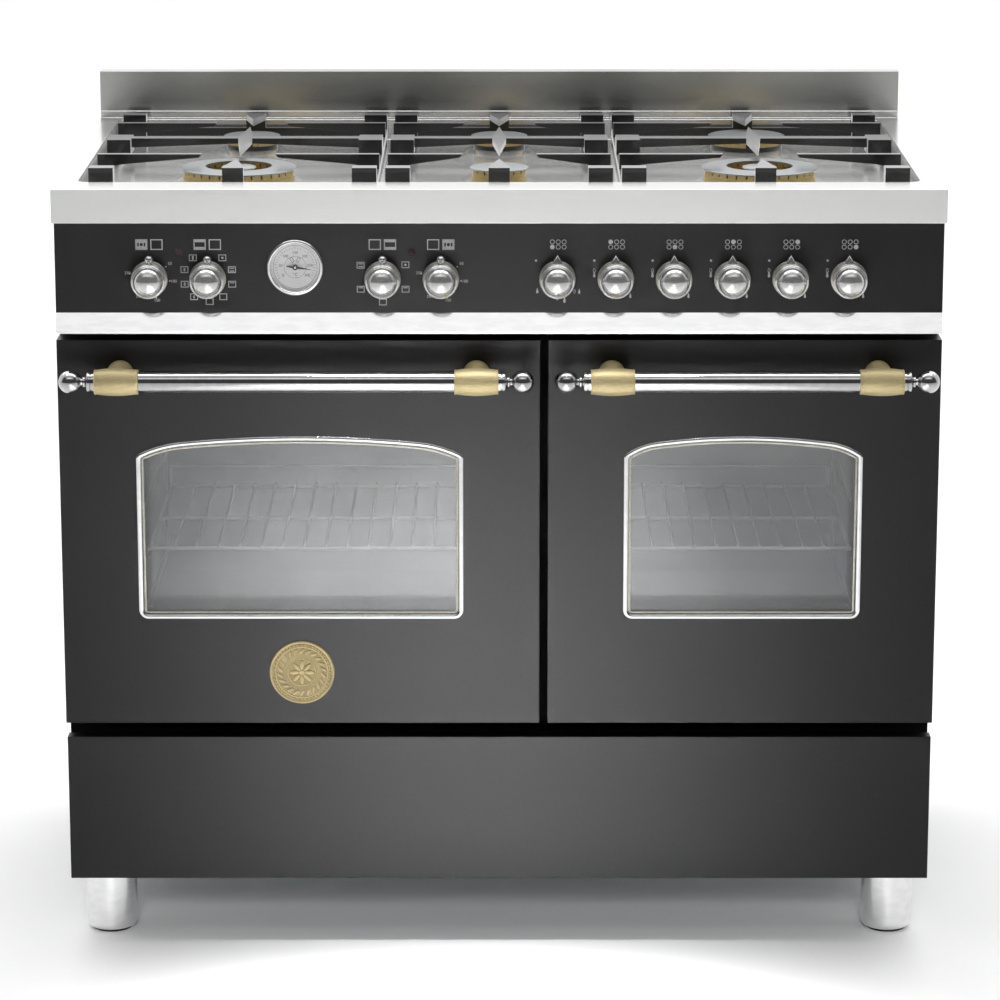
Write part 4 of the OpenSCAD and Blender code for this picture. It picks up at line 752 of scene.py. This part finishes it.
def stamp(model, x_mm, z_mm, centre, size=1.0):
    """One printed copy at millimetres right of and above a knob's centre."""
    return twin(model, Matrix.Scale(size, 4, (1, 0, 0)) @ Matrix.Scale(size, 4, (0, 0, 1)),
                Matrix.Translation((centre[0] + x_mm * MM, PANEL_Y, centre[2] + z_mm * MM)))


prints = []
for knob, lit in LIT_DOT.items():
    centre = JOINT[knob + "_burner_knob_turn"]["pos_m"]
    for column in (-1, 0, 1):
        for row in (1, -1):
            prints.append(stamp(solid_dot if (column, row) == lit else open_ring,
                                MAP_SIDE + column * COLUMN_MM, MAP_UP + row * ROW_MM, centre))
    prints.append(stamp(small_dot, -24.0, 20.5, centre))
    for shape, x_mm, z_mm, size in TWO_CROWN_FLAMES if knob == "front_left" else FLAMES:
        prints.append(stamp(shape, x_mm, z_mm, centre, size))
print(len(prints), "marks round the gas knobs")

# %% Figures and pictograms round the oven knobs
square = flat(4, 13.6, 12.0, 1.1)
tile = flat(4, 8.6, 7.4, 0.8)
short_bar = flat(4, 7.0, 1.3)
wide_bar = flat(4, 11.0, 2.6)
filled = flat(4, 12.6, 11.0)
upright = flat(4, 2.0, 4.6)
SQUARE_SIDE, SQUARE_UP, SCALE_OUT = 8.5, 38.6, 22.8
HEATS = (("50", 23.0, 17.0), ("100", 27.0, -3.0), ("150", 8.0, -24.6), ("200", -12.6, -20.2),
         ("250", -24.6, 6.4))
TILES = {"left": [(-16.4, 23.6, "upright"), (-26.0, 10.2, "fan"), (-26.0, -6.3, "fan"),
                  (-15.7, -20.6, "fan"), (16.6, 23.6, "dot"), (27.2, 10.2, "two"),
                  (27.2, -6.3, "one"), (17.0, -20.6, "none"), (1.6, -26.0, "none")],
         "right": [(-24.6, 15.2, "two"), (-24.6, -12.0, "one"), (0.2, -26.6, "none"),
                   (25.6, -12.0, "one"), (25.6, 15.7, "dot")]}
INSIDE_TILE = {"upright": [(upright, 0, 1.0)], "fan": [(solid_dot, 0, 0.45), (upright, 0, 0.8)],
               "dot": [(solid_dot, 0, 0.5)], "one": [(short_bar, 1.6, 0.7)],
               "two": [(short_bar, 1.6, 0.7), (short_bar, -1.6, 0.7)], "none": []}

dark_marks = []
for side, way in (("left", 1), ("right", -1)):
    heat = JOINT[side + "_thermostat_knob_turn"]["pos_m"]
    mode = JOINT[side + "_function_knob_turn"]["pos_m"]
    sign_x = -SQUARE_SIDE * way
    for centre in (heat, mode):
        for x_mm in (-SQUARE_SIDE, SQUARE_SIDE):
            prints.append(stamp(square, x_mm, SQUARE_UP, centre))
        if centre is heat:
            prints.append(stamp(filled, sign_x, SQUARE_UP, centre))
            dark_marks.append(stamp(solid_dot, sign_x, SQUARE_UP, centre, 0.7))
            for x_mm in (-3.6, 3.6):
                dark_marks.append(stamp(upright, sign_x + x_mm, SQUARE_UP, centre, 0.9))
        else:
            for z_mm in (42.6, 34.6):
                prints.append(stamp(wide_bar, sign_x, z_mm, centre))
    for text, x_mm, z_mm in HEATS:
        prints.append(words(text, 4.6, (heat[0] + x_mm * MM, PANEL_Y, heat[2] + z_mm * MM)))
        near = SCALE_OUT / math.hypot(x_mm, z_mm)
        prints.append(stamp(small_dot, x_mm * near, z_mm * near, heat, 0.7))
    for x_mm, z_mm, kind in TILES[side]:
        prints.append(stamp(tile, x_mm, z_mm, mode))
        for shape, up, size in INSIDE_TILE[kind]:
            prints.append(stamp(shape, x_mm, z_mm + up, mode, size))
for model in (open_ring, solid_dot, small_dot, flame, hollow_flame, square, tile, short_bar,
              wide_bar, upright, filled):
    bpy.data.objects.remove(model)
dress(joined(prints, "marks"), "panel_marks", white_ink, "body", "satin_steel")
icons = joined(dark_marks, "icons")
icons.data.transform(Matrix.Translation((0, -INK_MM * MM, 0)))
dress(icons, "panel_icons", satin_black, "body", "satin_black")

# %% [markdown]
# ## Medallion
# A struck brass disc on the left door. Its relief here is a plain rosette in a wreath inside a
# beaded rim: one petal, one leaf and one bead are each modelled once and copied round, and a
# plain boss sits in the middle.

# %% Medallion
seal_low, seal_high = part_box("door_medallion")
SEAL = Vector(((seal_low.x + seal_high.x) / 2, seal_high.y, (seal_low.z + seal_high.z) / 2))
R = (seal_high.x - seal_low.x) / 2 / MM
FIELD_UP, FIELD_EDGE = 1.75, 2.6
disc = turned([(0, R), (2.2, R), (2.8, R - 0.5), (3.0, R - 1.2), (2.8, R - 1.9), (2.0, R - 2.6),
               (1.7, R - 3.0), (1.7, R - 6.2), (2.2, R - 6.6), (2.2, R - 7.4), (1.6, R - 7.9),
               (1.5, 16.5), (2.0, 16.0), (2.0, 15.4), (1.5, 15.0)], SEAL, LEAN_OUT, 96)


def ring_of(model, count, out_mm, turn=0.0):
    """Copies of a relief mark set out from the centre and turned round the disc."""
    return [twin(model, Matrix.Rotation(turn, 4, "Y"),
                 Matrix.Translation((0, -1.6 * MM, out_mm * MM)),
                 Matrix.Rotation(k * math.tau / count, 4, "Y"), Matrix.Translation(SEAL))
            for k in range(count)]


def lump(width, deep, tall, rings=8, around=16):
    """A flattened round form for the relief, in mm."""
    bpy.ops.mesh.primitive_uv_sphere_add(segments=around, ring_count=rings, radius=0.5 * MM)
    bpy.context.object.scale = (width, deep, tall)
    return settle(smooth=80)


bead, leaf, petal, boss = (lump(2.4, 2.4, 2.4, 6, 10), lump(3.6, 2.4, 8.6), lump(5.2, 3.2, 12.0),
                           lump(7.0, 2.7, 7.0))
reliefs = ([disc] + ring_of(bead, 48, R - 4.6) + ring_of(leaf, 22, R - 12.2, math.radians(38))
           + ring_of(petal, 8, 8.6) + ring_of(boss, 1, 0))
for model in (bead, leaf, petal, boss):
    bpy.data.objects.remove(model)
seal = dress(joined(reliefs, "seal"), "medallion_struck", satin_brass, "left_door", "satin_brass",
             "door_medallion")
seal.data.materials.append(patina)
for face in seal.data.polygons:
    out = math.hypot(face.center.x - SEAL.x, face.center.z - SEAL.z) / MM
    sunk = SEAL.y - face.center.y < FIELD_UP * MM
    face.material_index = 1 if out < R - FIELD_EDGE and sunk else 0

# %% [markdown]
# ## Window beads
# An oval polished bead covers the edge of each window hole, and inside it a satin spacer lies on
# the glass as a grey band. Both follow the same arched outline, so a function gives its points,
# and a round section is swept along it as a curve and made into a mesh.

# %% Outline of a window
TOP_CORNER, FOOT_CORNER, RISE = 8.0, 11, 22.0


def sweep_of(centre, radius, start, stop, steps):
    """Points of an arc in mm, between two angles in degrees."""
    return [(centre[0] + radius * math.cos(math.radians(start + (stop - start) * k / steps)),
             centre[1] + radius * math.sin(math.radians(start + (stop - start) * k / steps)))
            for k in range(steps + 1)]


def window_outline(w, tall, inset):
    """The arched outline: flat arc, two tighter shoulders and small corners, in mm."""
    # Radii r, angles a and centres c: 1 is the flat arc, 2 a shoulder and f the small corner.
    x1, d1 = 0.363 * w, 0.3 * RISE
    r1 = (x1 * x1 + d1 * d1) / (2 * d1)
    a1 = math.asin(x1 / r1)
    a2 = 2 * math.atan2(RISE - d1, w / 2 - x1) - a1
    r2 = (w / 2 - x1) / (math.sin(a2) - math.sin(a1))
    c1 = (0, tall - r1)
    c2 = ((r1 - r2) * math.sin(a1), c1[1] + (r1 - r2) * math.cos(a1))
    cx = w / 2 - TOP_CORNER
    cf = (cx, c2[1] + math.sqrt((r2 - TOP_CORNER) ** 2 - (cx - c2[0]) ** 2))
    turn = math.degrees(math.atan2(cf[1] - c2[1], cf[0] - c2[0]))
    lean = math.degrees(a1)
    right = (sweep_of((w / 2 - FOOT_CORNER, FOOT_CORNER), FOOT_CORNER - inset, -90, 0, 10)
             + sweep_of(cf, max(1.0, TOP_CORNER - inset), 0, turn, 10)
             + sweep_of(c2, r2 - inset, turn, 90 - lean, 14)
             + sweep_of(c1, r1 - inset, 90 - lean, 90, 14))
    return right + [(-x, y) for x, y in reversed(right[:-1])]


def swept(points, radius, place, thin):
    """A closed bar along points, thinned to an oval, as a mesh that faces -Y."""
    line = bpy.data.curves.new("bar", "CURVE")
    line.dimensions = "3D"
    line.bevel_depth, line.bevel_resolution = radius * MM, 3
    run = line.splines.new("POLY")
    run.points.add(len(points) - 1)
    for point, (x, y) in zip(run.points, points):
        point.co = (x * MM, y * MM, 0, 1)
    run.use_cyclic_u = True
    bar = bpy.data.objects.new("bar", line)
    bpy.context.scene.collection.objects.link(bar)
    lone(bar)
    bpy.ops.object.convert(target="MESH")
    bpy.context.object.data.transform(Matrix.Diagonal((1, 1, thin, 1)))
    return settle(place, LEAN_OUT, 60)


print("outline", len(window_outline(370.6, 214.0, 0)), "points")

# %% Beads and spacer lines
BEAD_R, BEAD_THIN, BEAD_DEEP = 2.8, 0.57, 1.6
LINE_IN, LINE_R, LINE_THIN = 7.5, 1.4, 0.3
for side in ("left", "right"):
    trim_low, trim_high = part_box(side + "_window_trim")
    pane_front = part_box(side + "_door_glass")[0].y
    w, tall = (trim_high.x - trim_low.x) / MM, (trim_high.z - trim_low.z) / MM
    middle = (trim_low.x + trim_high.x) / 2
    bead = swept(window_outline(w, tall, BEAD_R), BEAD_R,
                 (middle, trim_low.y + BEAD_DEEP * MM, trim_low.z), BEAD_THIN)
    dress(bead, side + "_window_bead", polished, side + "_door", "polished_steel",
          side + "_window_trim")
    line = swept(window_outline(w, tall, LINE_IN), LINE_R, (middle, pane_front, trim_low.z),
                 LINE_THIN)
    dress(line, side + "_pane_line", satin_chrome, side + "_door", "polished_steel")

# %% [markdown]
# ## Screws on the back
# The back sheet is held by pan-head screws with a socket, about 8 mm wide and 150 mm apart, with a
# satin plating. One is turned, and copied round the sheet's edge.

# %% Back screws
UPRIGHT_GAPS, LEVEL_GAPS, FROM_SIDE, FROM_END = 5, 6, 12 * MM, 15 * MM
back_low, back_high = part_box("back_panel")
screw = turned([(0, 4.2), (1.2, 4.2), (1.9, 3.5), (2.2, 2.3), (1.2, 1.6), (1.2, 0.2)],
               (0, back_high.y, 0), (-math.pi / 2, 0, 0), 20)
screws = []
for k in range(UPRIGHT_GAPS + 1):
    z = back_low.z + (0.02 + 0.96 * k / UPRIGHT_GAPS) * (back_high.z - back_low.z)
    for x in (back_low.x + FROM_SIDE, back_high.x - FROM_SIDE):
        screws.append(copied(screw, (x, 0, z)))
for k in range(1, LEVEL_GAPS):
    x = back_low.x + k * (back_high.x - back_low.x) / LEVEL_GAPS
    for z in (back_low.z + FROM_END, back_high.z - FROM_END):
        screws.append(copied(screw, (x, 0, z)))
bpy.data.objects.remove(screw)
dress(joined(screws, "screws"), "back_screws", satin_chrome, "body", "galvanised_steel")
